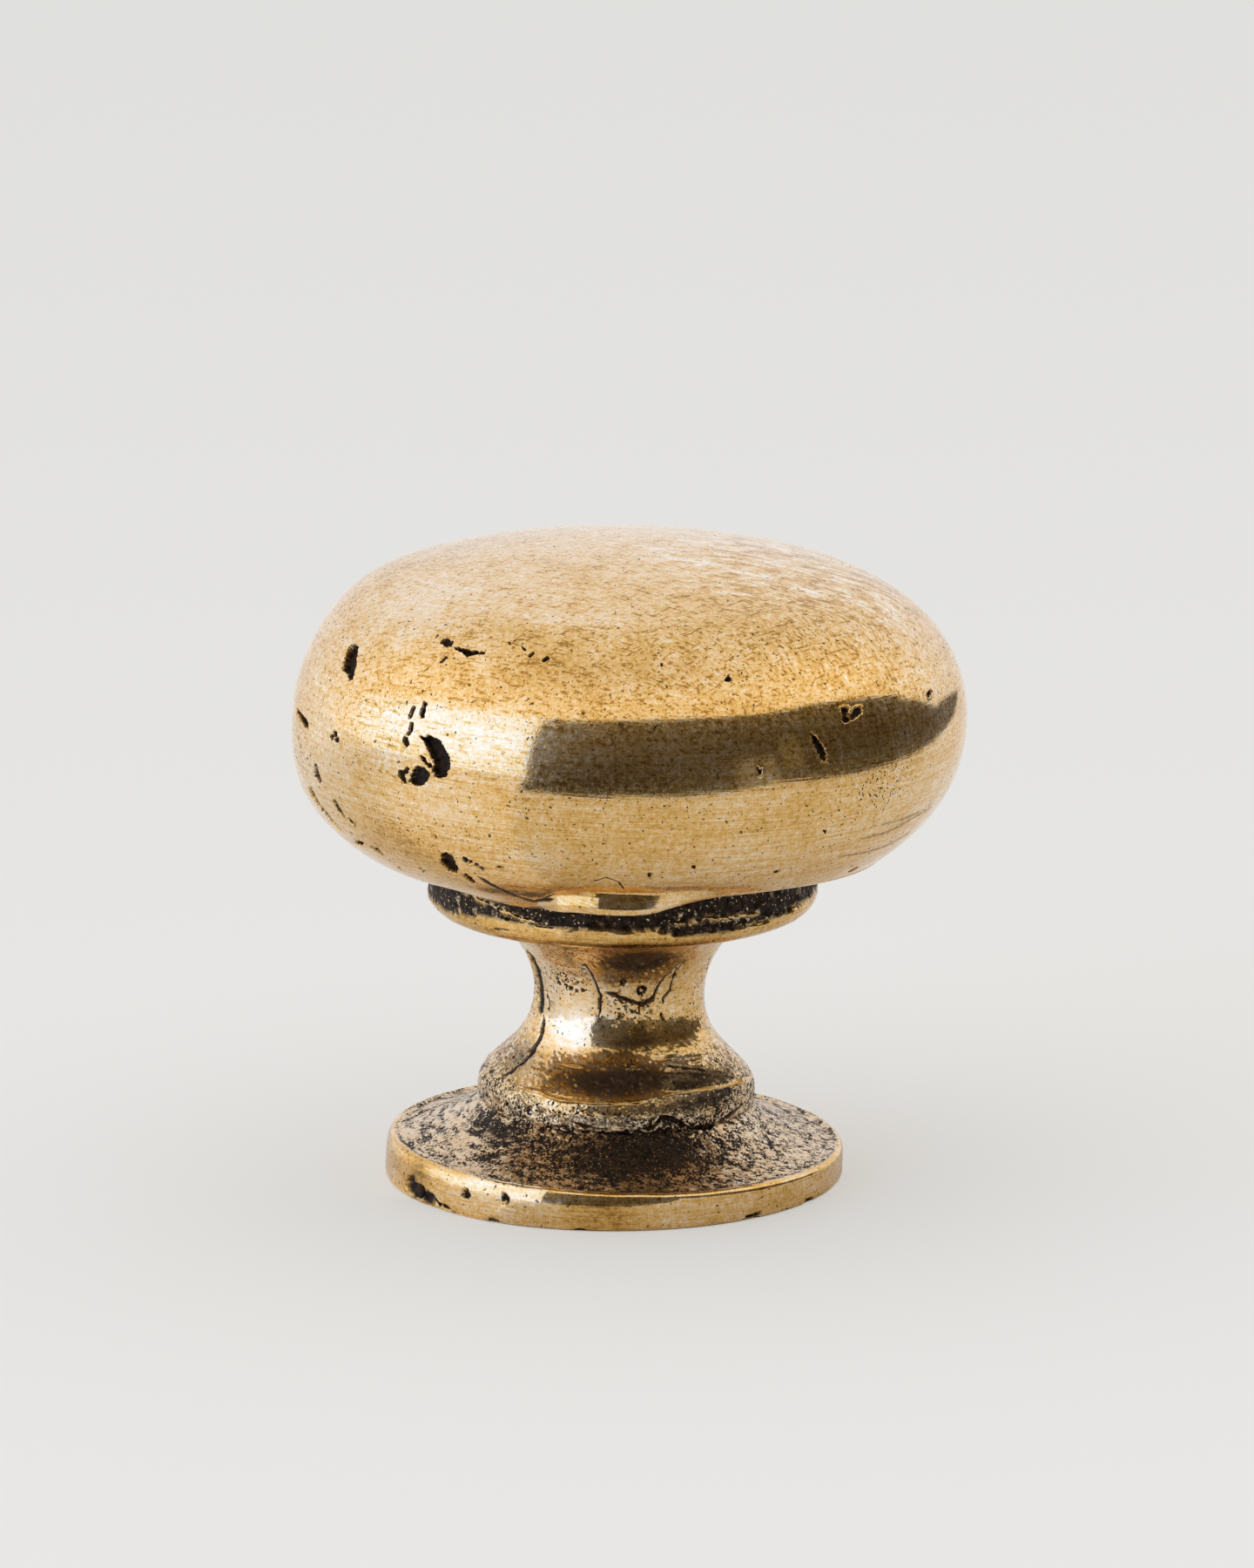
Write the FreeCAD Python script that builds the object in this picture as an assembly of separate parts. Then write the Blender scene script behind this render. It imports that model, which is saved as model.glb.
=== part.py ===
import FreeCAD, Part

import math
import os

# A cast brass cabinet knob in one piece: foot, shoulder, waisted neck, collar and bun head.
# Millimetres. +Z points out of the furniture, and the back face lies on Z = 0.
# The origin is where the axis of the tapped hole meets the back face.
# Azimuths are in degrees from +X towards +Y. The best known side of the knob faces -Y.
# Each stretch of the outline stands on the one below it, so a change moves all that is above.

# Lean of the casting's own axis, off square to the ground back face and towards +X
lean_deg = 1.7

# Foot: a disc with a polished rim and a hollow cone that rises to the shoulder
foot_dia = 26.0
rim_height = 2.2
rim_round = 0.6
land_width = 0.15
land_step = 0.1
cone_rise = 2.25
cone_sag = 0.35
back_edge_round = 0.25

# Shoulder: an upright wall, a round and a straight flare up to the neck
shoulder_lip = 0.25
shoulder_wall = 0.69
shoulder_round = 1.6
flare_length = 1.83
flare_deg = 45.0

# Neck: a cove on each side of the waist
waist_dia = 9.66
lower_cove_radius = 4.3
upper_cove_radius = 5.0
upper_cove_deg = 70.0

# Collar: a nearly flat underside, a rounded lower edge and a wall up to the head
collar_underside_width = 1.78
collar_underside_rise = 0.25
collar_edge_radius = 1.2
collar_thickness = 2.6

# Head: a bun with a low crown, cut off flat over the collar
head_dia = 38.2
crown_radius = 48.0
upper_edge_radius = 8.71
lower_edge_radius = 8.14
underside_radius = 30.0
head_depth_below_widest = 8.32
heel_radius = 0.4

# Tapped blind hole for the fixing screw, M4 with its wall at the tapping size
tap_dia = 3.3
tap_depth = 12.0
drill_point_deg = 118.0

# How far a cutting or joining body runs past the face that it meets
overrun = 2.0

# Casting pits on the head, as azimuth, latitude, length, width, depth and turn.
# The latitude is where the skin faces, up from level. The turn is how far the long side stands up.
head_pits = {
    "long_slot": (207.5, 35.0, 2.10, 0.75, 0.35, 82.0),
    "oval_crown_pit": (229.0, 54.0, 0.90, 0.70, 0.30, -20.0),
    "ragged_crown_pit": (236.0, 52.0, 1.60, 0.45, 0.25, -14.0),
    "kidney_pit": (236.0, 10.0, 2.30, 1.20, 0.50, -64.0),
    "kidney_hook": (233.3, 5.5, 0.90, 0.30, 0.20, -50.0),
    "twin_pit_left": (230.2, 1.0, 1.00, 0.80, 0.35, 70.0),
    "twin_pit_right": (233.2, 2.0, 1.10, 0.95, 0.40, 80.0),
    "side_slash": (195.8, 6.0, 1.40, 0.35, 0.25, -40.0),
    "side_nick": (204.5, -10.0, 0.85, 0.40, 0.25, -75.0),
    "side_slit": (203.0, -26.0, 2.80, 0.30, 0.25, -62.0),
    "under_pit": (236.2, -36.5, 1.25, 0.85, 0.40, -50.0),
    "small_under_pit": (238.2, -46.0, 0.75, 0.50, 0.25, -45.0),
    "ringed_pit": (312.2, 24.0, 1.10, 0.90, 0.30, 10.0),
    "slanting_pit": (304.0, 14.5, 1.50, 0.65, 0.35, -62.0),
    "corner_pit": (289.0, 44.0, 0.45, 0.40, 0.20, 0.0),
}

# Pits and chips in the side wall of the foot, with a height above the back face in place of latitude
rim_marks = {
    "round_pit": (230.0, 1.18, 0.50, 0.42, 0.30, 0.0),
    "hooked_pit": (241.8, 1.40, 0.60, 0.36, 0.25, -45.0),
    "left_chip_upper": (213.5, 0.70, 2.60, 0.90, 0.28, -10.0),
    "left_chip_lower": (218.5, 0.10, 2.60, 0.80, 0.32, 0.0),
    "right_chip": (307.0, 0.15, 1.30, 0.50, 0.22, 12.0),
    "right_nick": (328.0, 0.10, 0.90, 0.40, 0.16, 0.0),
    "front_nick": (238.5, 0.05, 0.60, 0.40, 0.18, 0.0),
}

head_radius = head_dia / 2
waist_radius = waist_dia / 2
foot_radius = foot_dia / 2
flare = math.radians(flare_deg)
upper_cove = math.radians(upper_cove_deg)
quarter = math.pi / 2


def tangent_rise(large_radius, edge_radius):
    """How far a large arc centred on the axis swells past the head's widest height."""
    inset = head_radius - edge_radius
    return large_radius - math.sqrt((large_radius - edge_radius) ** 2 - inset ** 2)


# Outline between foot and neck, from the waist's radius outwards and from the rim upwards
flare_top_radius = waist_radius + lower_cove_radius * (1 - math.cos(flare))
flare_foot_radius = flare_top_radius + flare_length * math.cos(flare)
shoulder_radius = flare_foot_radius + shoulder_round * (1 - math.cos(flare))
shoulder_height = rim_height + cone_rise
round_height = shoulder_height + shoulder_wall
flare_foot_height = round_height + shoulder_round * math.sin(flare)
flare_top_height = flare_foot_height + flare_length * math.sin(flare)
waist_height = flare_top_height + lower_cove_radius * math.sin(flare)

# Outline of the collar
neck_top_radius = waist_radius + upper_cove_radius * (1 - math.cos(upper_cove))
neck_top_height = waist_height + upper_cove_radius * math.sin(upper_cove)
collar_round_radius = neck_top_radius + collar_underside_width
collar_radius = collar_round_radius + collar_edge_radius
collar_height = neck_top_height + collar_underside_rise
collar_round_height = collar_height + collar_edge_radius

# Outline of the head
heel_height = collar_height + collar_thickness
head_widest_height = heel_height + head_depth_below_widest
crown_top = head_widest_height + tangent_rise(crown_radius, upper_edge_radius)
crown_centre = crown_top - crown_radius
underside_bottom = head_widest_height - tangent_rise(underside_radius, lower_edge_radius)
underside_centre = underside_bottom + underside_radius


def spot(radius, height):
    """A point of an outline, at a radius and a height on its axis."""
    return FreeCAD.Vector(radius, 0, height)


def on_arc(centre_radius, centre_height, radius, angle):
    """The point of an arc at an angle, counted up from the outward horizontal."""
    return spot(
        centre_radius + radius * math.cos(angle),
        centre_height + radius * math.sin(angle),
    )


def line(start, end):
    return Part.LineSegment(start, end).toShape()


def arc(centre_radius, centre_height, radius, first, last):
    """An arc edge from the first angle to the last."""
    ends = [on_arc(centre_radius, centre_height, radius, angle) for angle in (first, last)]
    middle = on_arc(centre_radius, centre_height, radius, (first + last) / 2)
    return Part.Arc(ends[0], middle, ends[1]).toShape()


def turned(edges):
    """The solid that a closed outline sweeps on one turn round the axis."""
    swept = Part.Face(Part.Wire(edges)).revolve(FreeCAD.Vector(0, 0, 0), FreeCAD.Vector(0, 0, 1), 360)
    return Part.Solid(swept.Shells[0])


def head():
    """The bun head, cut off flat over the collar, with its heel rounded."""
    upper_inset = head_radius - upper_edge_radius
    lower_inset = head_radius - lower_edge_radius
    upper_meet = math.atan2(head_widest_height - crown_centre, upper_inset)
    lower_meet = math.atan2(head_widest_height - underside_centre, lower_inset)
    bun = turned([
        arc(0, crown_centre, crown_radius, quarter, upper_meet),
        arc(upper_inset, head_widest_height, upper_edge_radius, upper_meet, 0),
        arc(lower_inset, head_widest_height, lower_edge_radius, 0, lower_meet),
        arc(0, underside_centre, underside_radius, lower_meet, -quarter),
        line(spot(0, underside_bottom), spot(0, crown_top)),
    ])
    waste_bottom = min(underside_bottom, heel_height) - overrun
    waste = Part.makeCylinder(head_radius, heel_height - waste_bottom, spot(0, waste_bottom))
    cut_off = bun.cut(waste)
    flat = min(cut_off.Faces, key=lambda face: face.CenterOfMass.z)
    return cut_off.makeFillet(heel_radius, flat.OuterWire.Edges)


def collar_edges():
    """The collar from inside the head down to the neck."""
    return [
        line(spot(0, heel_height + overrun), spot(collar_radius, heel_height + overrun)),
        line(spot(collar_radius, heel_height + overrun), spot(collar_radius, collar_round_height)),
        arc(collar_round_radius, collar_round_height, collar_edge_radius, 0, -quarter),
        line(spot(collar_round_radius, collar_height), spot(neck_top_radius, neck_top_height)),
    ]


def neck_edges():
    """The two coves, the flare and the shoulder."""
    shoulder_centre = shoulder_radius - shoulder_round
    return [
        arc(waist_radius + upper_cove_radius, waist_height, upper_cove_radius,
            math.pi - upper_cove, math.pi),
        arc(waist_radius + lower_cove_radius, waist_height, lower_cove_radius,
            math.pi, math.pi + flare),
        line(spot(flare_top_radius, flare_top_height), spot(flare_foot_radius, flare_foot_height)),
        arc(shoulder_centre, round_height, shoulder_round, flare, 0),
        line(spot(shoulder_radius, round_height), spot(shoulder_radius, shoulder_height)),
    ]


def foot_edges():
    """The shoulder's lip, the hollow cone, the rim, its side wall and the axis back up."""
    land_radius = foot_radius - rim_round
    inner = spot(shoulder_radius - shoulder_lip, shoulder_height - shoulder_lip / 2)
    outer = spot(land_radius - land_width, rim_height - land_step)
    chord = outer - inner
    middle = inner + chord * 0.5 + spot(chord.z, -chord.x).normalize() * cone_sag
    wall_top = rim_height - rim_round
    return [
        line(spot(shoulder_radius, shoulder_height), inner),
        Part.Arc(inner, middle, outer).toShape(),
        line(outer, spot(land_radius, rim_height)),
        arc(land_radius, wall_top, rim_round, quarter, 0),
        line(spot(foot_radius, wall_top), spot(foot_radius, -overrun)),
        line(spot(foot_radius, -overrun), spot(0, -overrun)),
        line(spot(0, -overrun), spot(0, heel_height + overrun)),
    ]


def lean(shape):
    """Tips a shape over with the casting's axis."""
    tipped = shape.copy()
    tipped.rotate(FreeCAD.Vector(0, 0, 0), FreeCAD.Vector(0, 1, 0), lean_deg)
    return tipped


def ground_back(body):
    """The body with its back ground flat on Z = 0, and the edge there broken."""
    side = foot_dia + 2 * overrun
    waste = Part.makeBox(side, side, 2 * overrun, FreeCAD.Vector(-side / 2, -side / 2, -2 * overrun))
    ground = body.cut(waste)
    flat = min(ground.Faces, key=lambda face: face.CenterOfMass.z)
    return ground.makeFillet(back_edge_round, flat.OuterWire.Edges)


def screw_hole():
    """The blind hole, with its drill point."""
    tap_radius = tap_dia / 2
    point = tap_radius / math.tan(math.radians(drill_point_deg / 2))
    bore = Part.makeCylinder(tap_radius, tap_depth + overrun, spot(0, -overrun))
    return bore.fuse(Part.makeCone(tap_radius, 0, point, spot(0, tap_depth)))


def head_skin(latitude):
    """Radius and height of the head's rounded side where it faces a latitude, and that angle."""
    angle = math.radians(latitude)
    edge_radius = upper_edge_radius if latitude > 0 else lower_edge_radius
    place = on_arc(head_radius - edge_radius, head_widest_height, edge_radius, angle)
    return place.x, place.z, angle


def rim_skin(height):
    """Radius, height and angle of the foot's side wall, which is upright."""
    return foot_radius, height, 0


def pit(skin, azimuth, level, length, width, depth, turn):
    """A hollow with its mouth in the skin: the lower end of a ball drawn out to three sizes."""
    radius, height, rise = skin(level)
    around = math.radians(azimuth)
    slant = math.radians(turn)
    outward = FreeCAD.Vector(math.cos(around), math.sin(around), 0)
    along = FreeCAD.Vector(-math.sin(around), math.cos(around), 0)
    normal = outward * math.cos(rise) + spot(0, math.sin(rise))
    direction = along * math.cos(slant) + normal.cross(along) * math.sin(slant)
    centre = outward * radius + spot(0, height) + normal * depth
    # A ball with its centre one depth above the skin meets it in a circle this much smaller
    mouth = math.sqrt(3) / 2
    deep = normal * (2 * depth)
    broad = direction.cross(normal) * (width / 2 / mouth)
    long = direction * (length / 2 / mouth)
    drawn = FreeCAD.Matrix(
        deep.x, broad.x, long.x, centre.x,
        deep.y, broad.y, long.y, centre.y,
        deep.z, broad.z, long.z, centre.z,
        0, 0, 0, 1,
    )
    return Part.makeSphere(1).transformGeometry(drawn)


def knob():
    """The finished casting, with its hole, pits and chips."""
    stem = turned(collar_edges() + neck_edges() + foot_edges())
    casting = lean(stem.fuse(head()))
    marks = [lean(pit(head_skin, *size)) for size in head_pits.values()]
    marks += [pit(rim_skin, *size) for size in rim_marks.values()]
    return ground_back(casting).cut(marks + [screw_hole()]).Solids[0]


os.makedirs("parts", exist_ok=True)
finished = knob()
finished.exportStep("parts/knob.step")
print("knob valid", finished.isValid(), "faces", len(finished.Faces), "volume", round(finished.Volume, 1))
print("heights", [round(size, 3) for size in (waist_height, collar_height, heel_height, head_widest_height)])
print("radii", round(shoulder_radius, 3), round(collar_radius, 3), "top", round(crown_top, 3))
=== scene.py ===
import math

import bpy
import numpy as np
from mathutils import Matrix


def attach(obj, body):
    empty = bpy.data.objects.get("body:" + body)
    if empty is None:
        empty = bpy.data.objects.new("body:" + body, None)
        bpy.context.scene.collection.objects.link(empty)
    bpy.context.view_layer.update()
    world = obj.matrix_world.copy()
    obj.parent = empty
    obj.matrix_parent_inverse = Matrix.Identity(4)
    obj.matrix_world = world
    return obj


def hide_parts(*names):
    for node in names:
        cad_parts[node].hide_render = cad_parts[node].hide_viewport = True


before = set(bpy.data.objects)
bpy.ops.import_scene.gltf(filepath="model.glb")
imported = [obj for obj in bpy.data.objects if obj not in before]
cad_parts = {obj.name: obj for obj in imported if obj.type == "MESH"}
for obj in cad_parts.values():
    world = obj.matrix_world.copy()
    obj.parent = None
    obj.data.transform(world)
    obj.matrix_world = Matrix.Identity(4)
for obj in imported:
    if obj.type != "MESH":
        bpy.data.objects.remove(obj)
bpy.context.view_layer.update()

# The knob's skin, in millimetres until the mesh is made. Azimuths are in degrees from +X towards +Y.
LEAN_DEG = 1.7
LEAN = math.tan(math.radians(LEAN_DEG))
HEAD_Z, HEAD_R, CROWN_R, UPPER_R, LOWER_R, UNDER_R = 26.474, 19.1, 48.0, 8.71, 8.14, 30.0
COLLAR_Z, COLLAR_R, COLLAR_EDGE = 15.554, 11.1, 1.2
WAIST_R, WAIST_Z, COVE_UP, COVE_DOWN = 4.83, 10.606, 5.0, 4.3
SHOULDER_R, SHOULDER_ROUND, SHOULDER_Z, SHOULDER_WALL = 7.852, 1.6, 4.45, 0.69
FOOT_R, RIM_Z, RIM_ROUND, LAND_W, CONE_SAG, BACK_ROUND = 13.0, 2.2, 0.6, 0.15, 0.35, 0.25
TAP_R, TAP_DEPTH, POINT_R, POINT_H = 1.65, 12.0, 0.02, 0.98
RIM_EDGE, BARREL = 0.35, 2.2
HEEL_ROUND = 0.35
LOW_START = math.radians(-35)
QUARTER, EIGHTH = math.pi / 2, math.pi / 4


def tangent_rise(big, small):
    return big - math.sqrt((big - small) ** 2 - (HEAD_R - small) ** 2)


CROWN_C = HEAD_Z + tangent_rise(CROWN_R, UPPER_R) - CROWN_R
UNDER_C = HEAD_Z - tangent_rise(UNDER_R, LOWER_R) + UNDER_R
UPPER_MEET = math.atan2(HEAD_Z - CROWN_C, HEAD_R - UPPER_R)
LOWER_MEET = math.atan2(HEAD_Z - UNDER_C, HEAD_R - LOWER_R)
LOW_TOP = HEAD_Z + LOWER_R * math.sin(LOW_START)

# Height of the head's heel, by azimuth
HEEL = [(20, 18.8), (90, 18.6), (150, 18.8), (185, 19.0), (208, 19.08), (223, 19.05), (231, 18.95),
        (238, 18.5), (245, 18.25), (249, 18.42), (253, 18.74), (257, 18.98), (262, 19.08), (270, 19.03),
        (276, 19.08), (279, 19.3), (284, 19.6), (290, 19.75), (297, 19.75),
        (306, 19.72), (318, 19.55), (340, 19.2)]
# How far the filed flat over the heel stands out, by azimuth
FACET = [(20, 0), (90, 0), (150, 0), (200, 0), (238, 0), (244, 0), (249, 0.2), (254, 0.75), (258, 1),
         (272, 1), (279, 0.75), (286, 0.35), (293, 0), (314, 0), (340, 0)]
FACET_RISE, FACET_MIN, FACET_OUT, FACET_TURN, FACET_ROUND = 0.86, 0.14, 0.27, 0.46, 0.27
# Azimuth of the edge between the two flats, how many degrees the left one curves, and where it starts
FACET_EDGE, FACET_CURVE, FACET_START = 265.3, 12, 0.3
# How far the upper part of the rim curves inward, in degrees, by azimuth
BARREL_TURN = [(20, 18), (90, 20), (150, 24), (180, 26), (250, 23), (272, 20), (282, 15), (290, 5), (302, 2),
               (340, 3)]


def ring(table, phi):
    """Smooth curve round the knob through a table of azimuths and values."""
    az = np.degrees(phi) % 360
    a, v = np.array(table, float).T
    a = np.concatenate([a[-2:] - 360, a, a[:2] + 360])
    v = np.concatenate([v[-2:], v, v[:2]])
    i = np.clip(np.searchsorted(a, az) - 1, 1, len(a) - 3)
    x = (az - a[i]) / (a[i + 1] - a[i])
    m0 = (v[i + 1] - v[i - 1]) / (a[i + 1] - a[i - 1]) * (a[i + 1] - a[i])
    m1 = (v[i + 2] - v[i]) / (a[i + 2] - a[i]) * (a[i + 1] - a[i])
    return ((2 * x ** 3 - 3 * x ** 2 + 1) * v[i] + (x ** 3 - 2 * x ** 2 + x) * m0
            + (3 * x ** 2 - 2 * x ** 3) * v[i + 1] + (x ** 3 - x ** 2) * m1)


def low_r(z):
    """Radius of the head's underside."""
    a = np.sqrt(np.maximum(LOWER_R ** 2 - (z - HEAD_Z) ** 2, 0)) + HEAD_R - LOWER_R
    b = np.sqrt(np.maximum(UNDER_R ** 2 - (UNDER_C - z) ** 2, 0))
    return np.where(z > HEAD_Z + LOWER_R * math.sin(LOWER_MEET), a, b)


def arc(cr, cz, rad, a0, a1, t):
    a = a0 + (a1 - a0) * t
    return cr + rad * np.cos(a), cz + rad * np.sin(a)


def seg(p, q, t):
    return p[0] + (q[0] - p[0]) * t, p[1] + (q[1] - p[1]) * t


def facet_on(phi):
    return np.clip(ring(FACET, phi), 0, 1)


def heel_z(phi):
    return ring(HEEL, phi) + HEEL_ROUND * 0.6 + FACET_ROUND * facet_on(phi)


def facet_z(phi):
    return heel_z(phi) + FACET_MIN + (FACET_RISE - FACET_MIN) * facet_on(phi)


def low_side(t, phi):
    z = LOW_TOP + (facet_z(phi) - LOW_TOP) * t
    return low_r(z), z


def facet(t, phi):
    """Two flats that meet at an edge, leaning a little outward going down."""
    za, zb = facet_z(phi), heel_z(phi)
    z = za + (zb - za) * t
    left = np.clip((FACET_EDGE - np.degrees(phi) % 360) / FACET_CURVE, 0, 1)
    inset = FACET_TURN * (left * (2 - left))
    flat = low_r(za) + FACET_OUT * (za - z) - inset * np.clip(t / FACET_START, 0, 1)
    return low_r(z) + (flat - low_r(z)) * facet_on(phi), z


def heel(t, phi):
    zh, z0 = ring(HEEL, phi), heel_z(phi)
    r0 = facet(1.0, phi)[0]
    e = 0.01
    slope = (low_r(z0 + e) - low_r(z0)) / e * (1 - facet_on(phi))
    # control point on the tangent at the cut height
    rc = r0 - slope * (z0 - zh)
    a, b, c = (1 - t) ** 2, 2 * t * (1 - t), t * t
    return a * r0 + b * rc + c * (rc - HEEL_ROUND), a * z0 + b * zh + c * zh


def step_in(t, phi):
    r1, z1 = heel(1.0, phi)
    return r1 + (COLLAR_R - r1) * t, z1 + 0 * t


def collar_wall(t, phi):
    z1 = ring(HEEL, phi)
    return COLLAR_R + 0 * t, z1 + (EDGE_Z - z1) * t


def cone(t, phi):
    r, z = seg(CONE_TOP, CONE_END, t)
    dr, dz = CONE_END[0] - CONE_TOP[0], CONE_END[1] - CONE_TOP[1]
    size = math.hypot(dr, dz)
    sag = CONE_SAG * 4 * t * (1 - t)
    return r + dz / size * sag, z - dr / size * sag


def barrel_a(phi):
    return np.radians(ring(BARREL_TURN, phi))


def barrel_z(phi):
    return RIM_Z - RIM_EDGE * (1 - np.sin(barrel_a(phi))) - BARREL * np.sin(barrel_a(phi))


def edge_r(phi):
    return FOOT_R - BARREL + (BARREL - RIM_EDGE) * np.cos(barrel_a(phi))


def rim_round(t, phi):
    return arc(edge_r(phi), RIM_Z - RIM_EDGE, RIM_EDGE, QUARTER, barrel_a(phi), t)


EDGE_R, EDGE_Z = COLLAR_R - COLLAR_EDGE, COLLAR_Z + COLLAR_EDGE
COVE_A = math.radians(70)
NECK_TOP = (WAIST_R + COVE_UP * (1 - math.cos(COVE_A)), WAIST_Z + COVE_UP * math.sin(COVE_A))
FLARE_TOP = (WAIST_R + COVE_DOWN * (1 - math.cos(EIGHTH)), WAIST_Z - COVE_DOWN * math.sin(EIGHTH))
ROUND_R, ROUND_Z = SHOULDER_R - SHOULDER_ROUND, SHOULDER_Z + SHOULDER_WALL
FLARE_END = (ROUND_R + SHOULDER_ROUND * math.cos(EIGHTH), ROUND_Z + SHOULDER_ROUND * math.sin(EIGHTH))
CREASE = (SHOULDER_R, SHOULDER_Z)
CONE_TOP = (SHOULDER_R - 0.25, SHOULDER_Z - 0.125)
CONE_END = (FOOT_R - RIM_ROUND - LAND_W, RIM_Z - 0.1)
POINT = (POINT_R, TAP_DEPTH + POINT_H)

# Stretches of the outline from the top: name, base rows, size of cell wanted, radius and height along it
SECTIONS = [
    ("crown", 13, 0.62, lambda t, phi: arc(0, CROWN_C, CROWN_R, QUARTER, UPPER_MEET, t)),
    ("edge", 8, 0.62, lambda t, phi: arc(HEAD_R - UPPER_R, HEAD_Z, UPPER_R, UPPER_MEET, 0, t)),
    ("edge2", 3, 0.62, lambda t, phi: arc(HEAD_R - LOWER_R, HEAD_Z, LOWER_R, 0, LOW_START, t)),
    ("low", 4, 0.5, low_side),
    ("facet", 1, 0.41, facet),
    ("heel", 1, 0.41, heel),
    ("step", 2, 0.8, step_in),
    ("wall", 2, 0.28, collar_wall),
    ("cround", 2, 0.3, lambda t, phi: arc(EDGE_R, EDGE_Z, COLLAR_EDGE, 0, -QUARTER, t)),
    ("soffit", 2, 0.6, lambda t, phi: seg((EDGE_R, COLLAR_Z), NECK_TOP, t)),
    ("cove", 10, 0.21, lambda t, phi: arc(WAIST_R + COVE_UP, WAIST_Z, COVE_UP, math.pi - COVE_A, math.pi, t)),
    ("cove2", 6, 0.2, lambda t, phi: arc(WAIST_R + COVE_DOWN, WAIST_Z, COVE_DOWN, math.pi, 5 * EIGHTH, t)),
    ("flare", 3, 0.21, lambda t, phi: seg(FLARE_TOP, FLARE_END, t)),
    ("sround", 2, 0.21, lambda t, phi: arc(ROUND_R, ROUND_Z, SHOULDER_ROUND, EIGHTH, 0, t)),
    ("swall", 1, 0.2, lambda t, phi: seg((SHOULDER_R, ROUND_Z), CREASE, t)),
    ("crease", 1, 0.2, lambda t, phi: seg(CREASE, CONE_TOP, t)),
    ("cone", 8, 0.31, cone),
    ("land", 1, 0.31, lambda t, phi: seg(CONE_END, (edge_r(phi), RIM_Z), t)),
    ("rround", 1, 0.31, rim_round),
    ("barrel", 1, 0.31, lambda t, phi: arc(FOOT_R - BARREL, barrel_z(phi), BARREL, barrel_a(phi), 0, t)),
    ("rwall", 1, 0.31, lambda t, phi: seg((FOOT_R, barrel_z(phi)), (FOOT_R, BACK_ROUND), t)),
    ("brim", 1, 0.6, lambda t, phi: arc(FOOT_R - BACK_ROUND, BACK_ROUND, BACK_ROUND, 0, -QUARTER, t)),
    ("back", 11, 3.0, lambda t, phi: (FOOT_R - BACK_ROUND + (TAP_R - FOOT_R + BACK_ROUND) * t, 0 * t)),
    ("bore", 103, 3.0, lambda t, phi: (TAP_R + 0 * t, TAP_DEPTH * t)),
    ("point", 2, 3.0, lambda t, phi: seg((TAP_R, TAP_DEPTH), POINT, t)),
]
NAMES, ROWS, CELL, CURVES = zip(*SECTIONS)


def length(curve):
    t, phi = np.linspace(0, 1, 200), np.full(200, math.radians(270))
    r, z = curve(t, phi)
    return float(np.hypot(np.diff(r + 0 * t), np.diff(z + 0 * t)).sum())


LEN = np.array([length(curve) for curve in CURVES])
START = np.concatenate([[0], np.cumsum(LEN)])
LOW = NAMES.index("low")
ARC_Z = np.linspace(LOW_TOP, 17.5, 200)
ARC_S = START[LOW] + np.concatenate([[0], np.cumsum(np.hypot(np.diff(low_r(ARC_Z)), np.diff(ARC_Z)))])


def along(sec, t, phi):
    """Arc length from the top of the knob."""
    s = START[sec] + t * LEN[sec]
    za, zb, zc = LOW_TOP, facet_z(phi), heel_z(phi)
    z = np.where(sec == LOW, za + (zb - za) * t, zb + (zc - zb) * t)
    return np.where((sec == LOW) | (sec == LOW + 1), np.interp(-z, -ARC_Z, ARC_S), s)


def outline(sec, t, phi):
    r, z = np.zeros_like(t), np.zeros_like(t)
    for k, curve in enumerate(CURVES):
        m = sec == k
        if m.any():
            r[m], z[m] = curve(t[m], phi[m])
    return r, z


def place(r, z, phi):
    """The leaning casting over its level back."""
    x, y = r * np.cos(phi), r * np.sin(phi)
    tilt = np.tan(np.radians(np.interp(z, [0, 6, 14, 20, 36], [LEAN_DEG, LEAN_DEG, 0.0, 0.6, 0.6])))
    z1 = RIM_Z - RIM_ROUND
    return np.stack([x + LEAN * z, y, np.where(z < z1, z * (z1 - x * LEAN) / z1, z - x * tilt)], -1)


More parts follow.
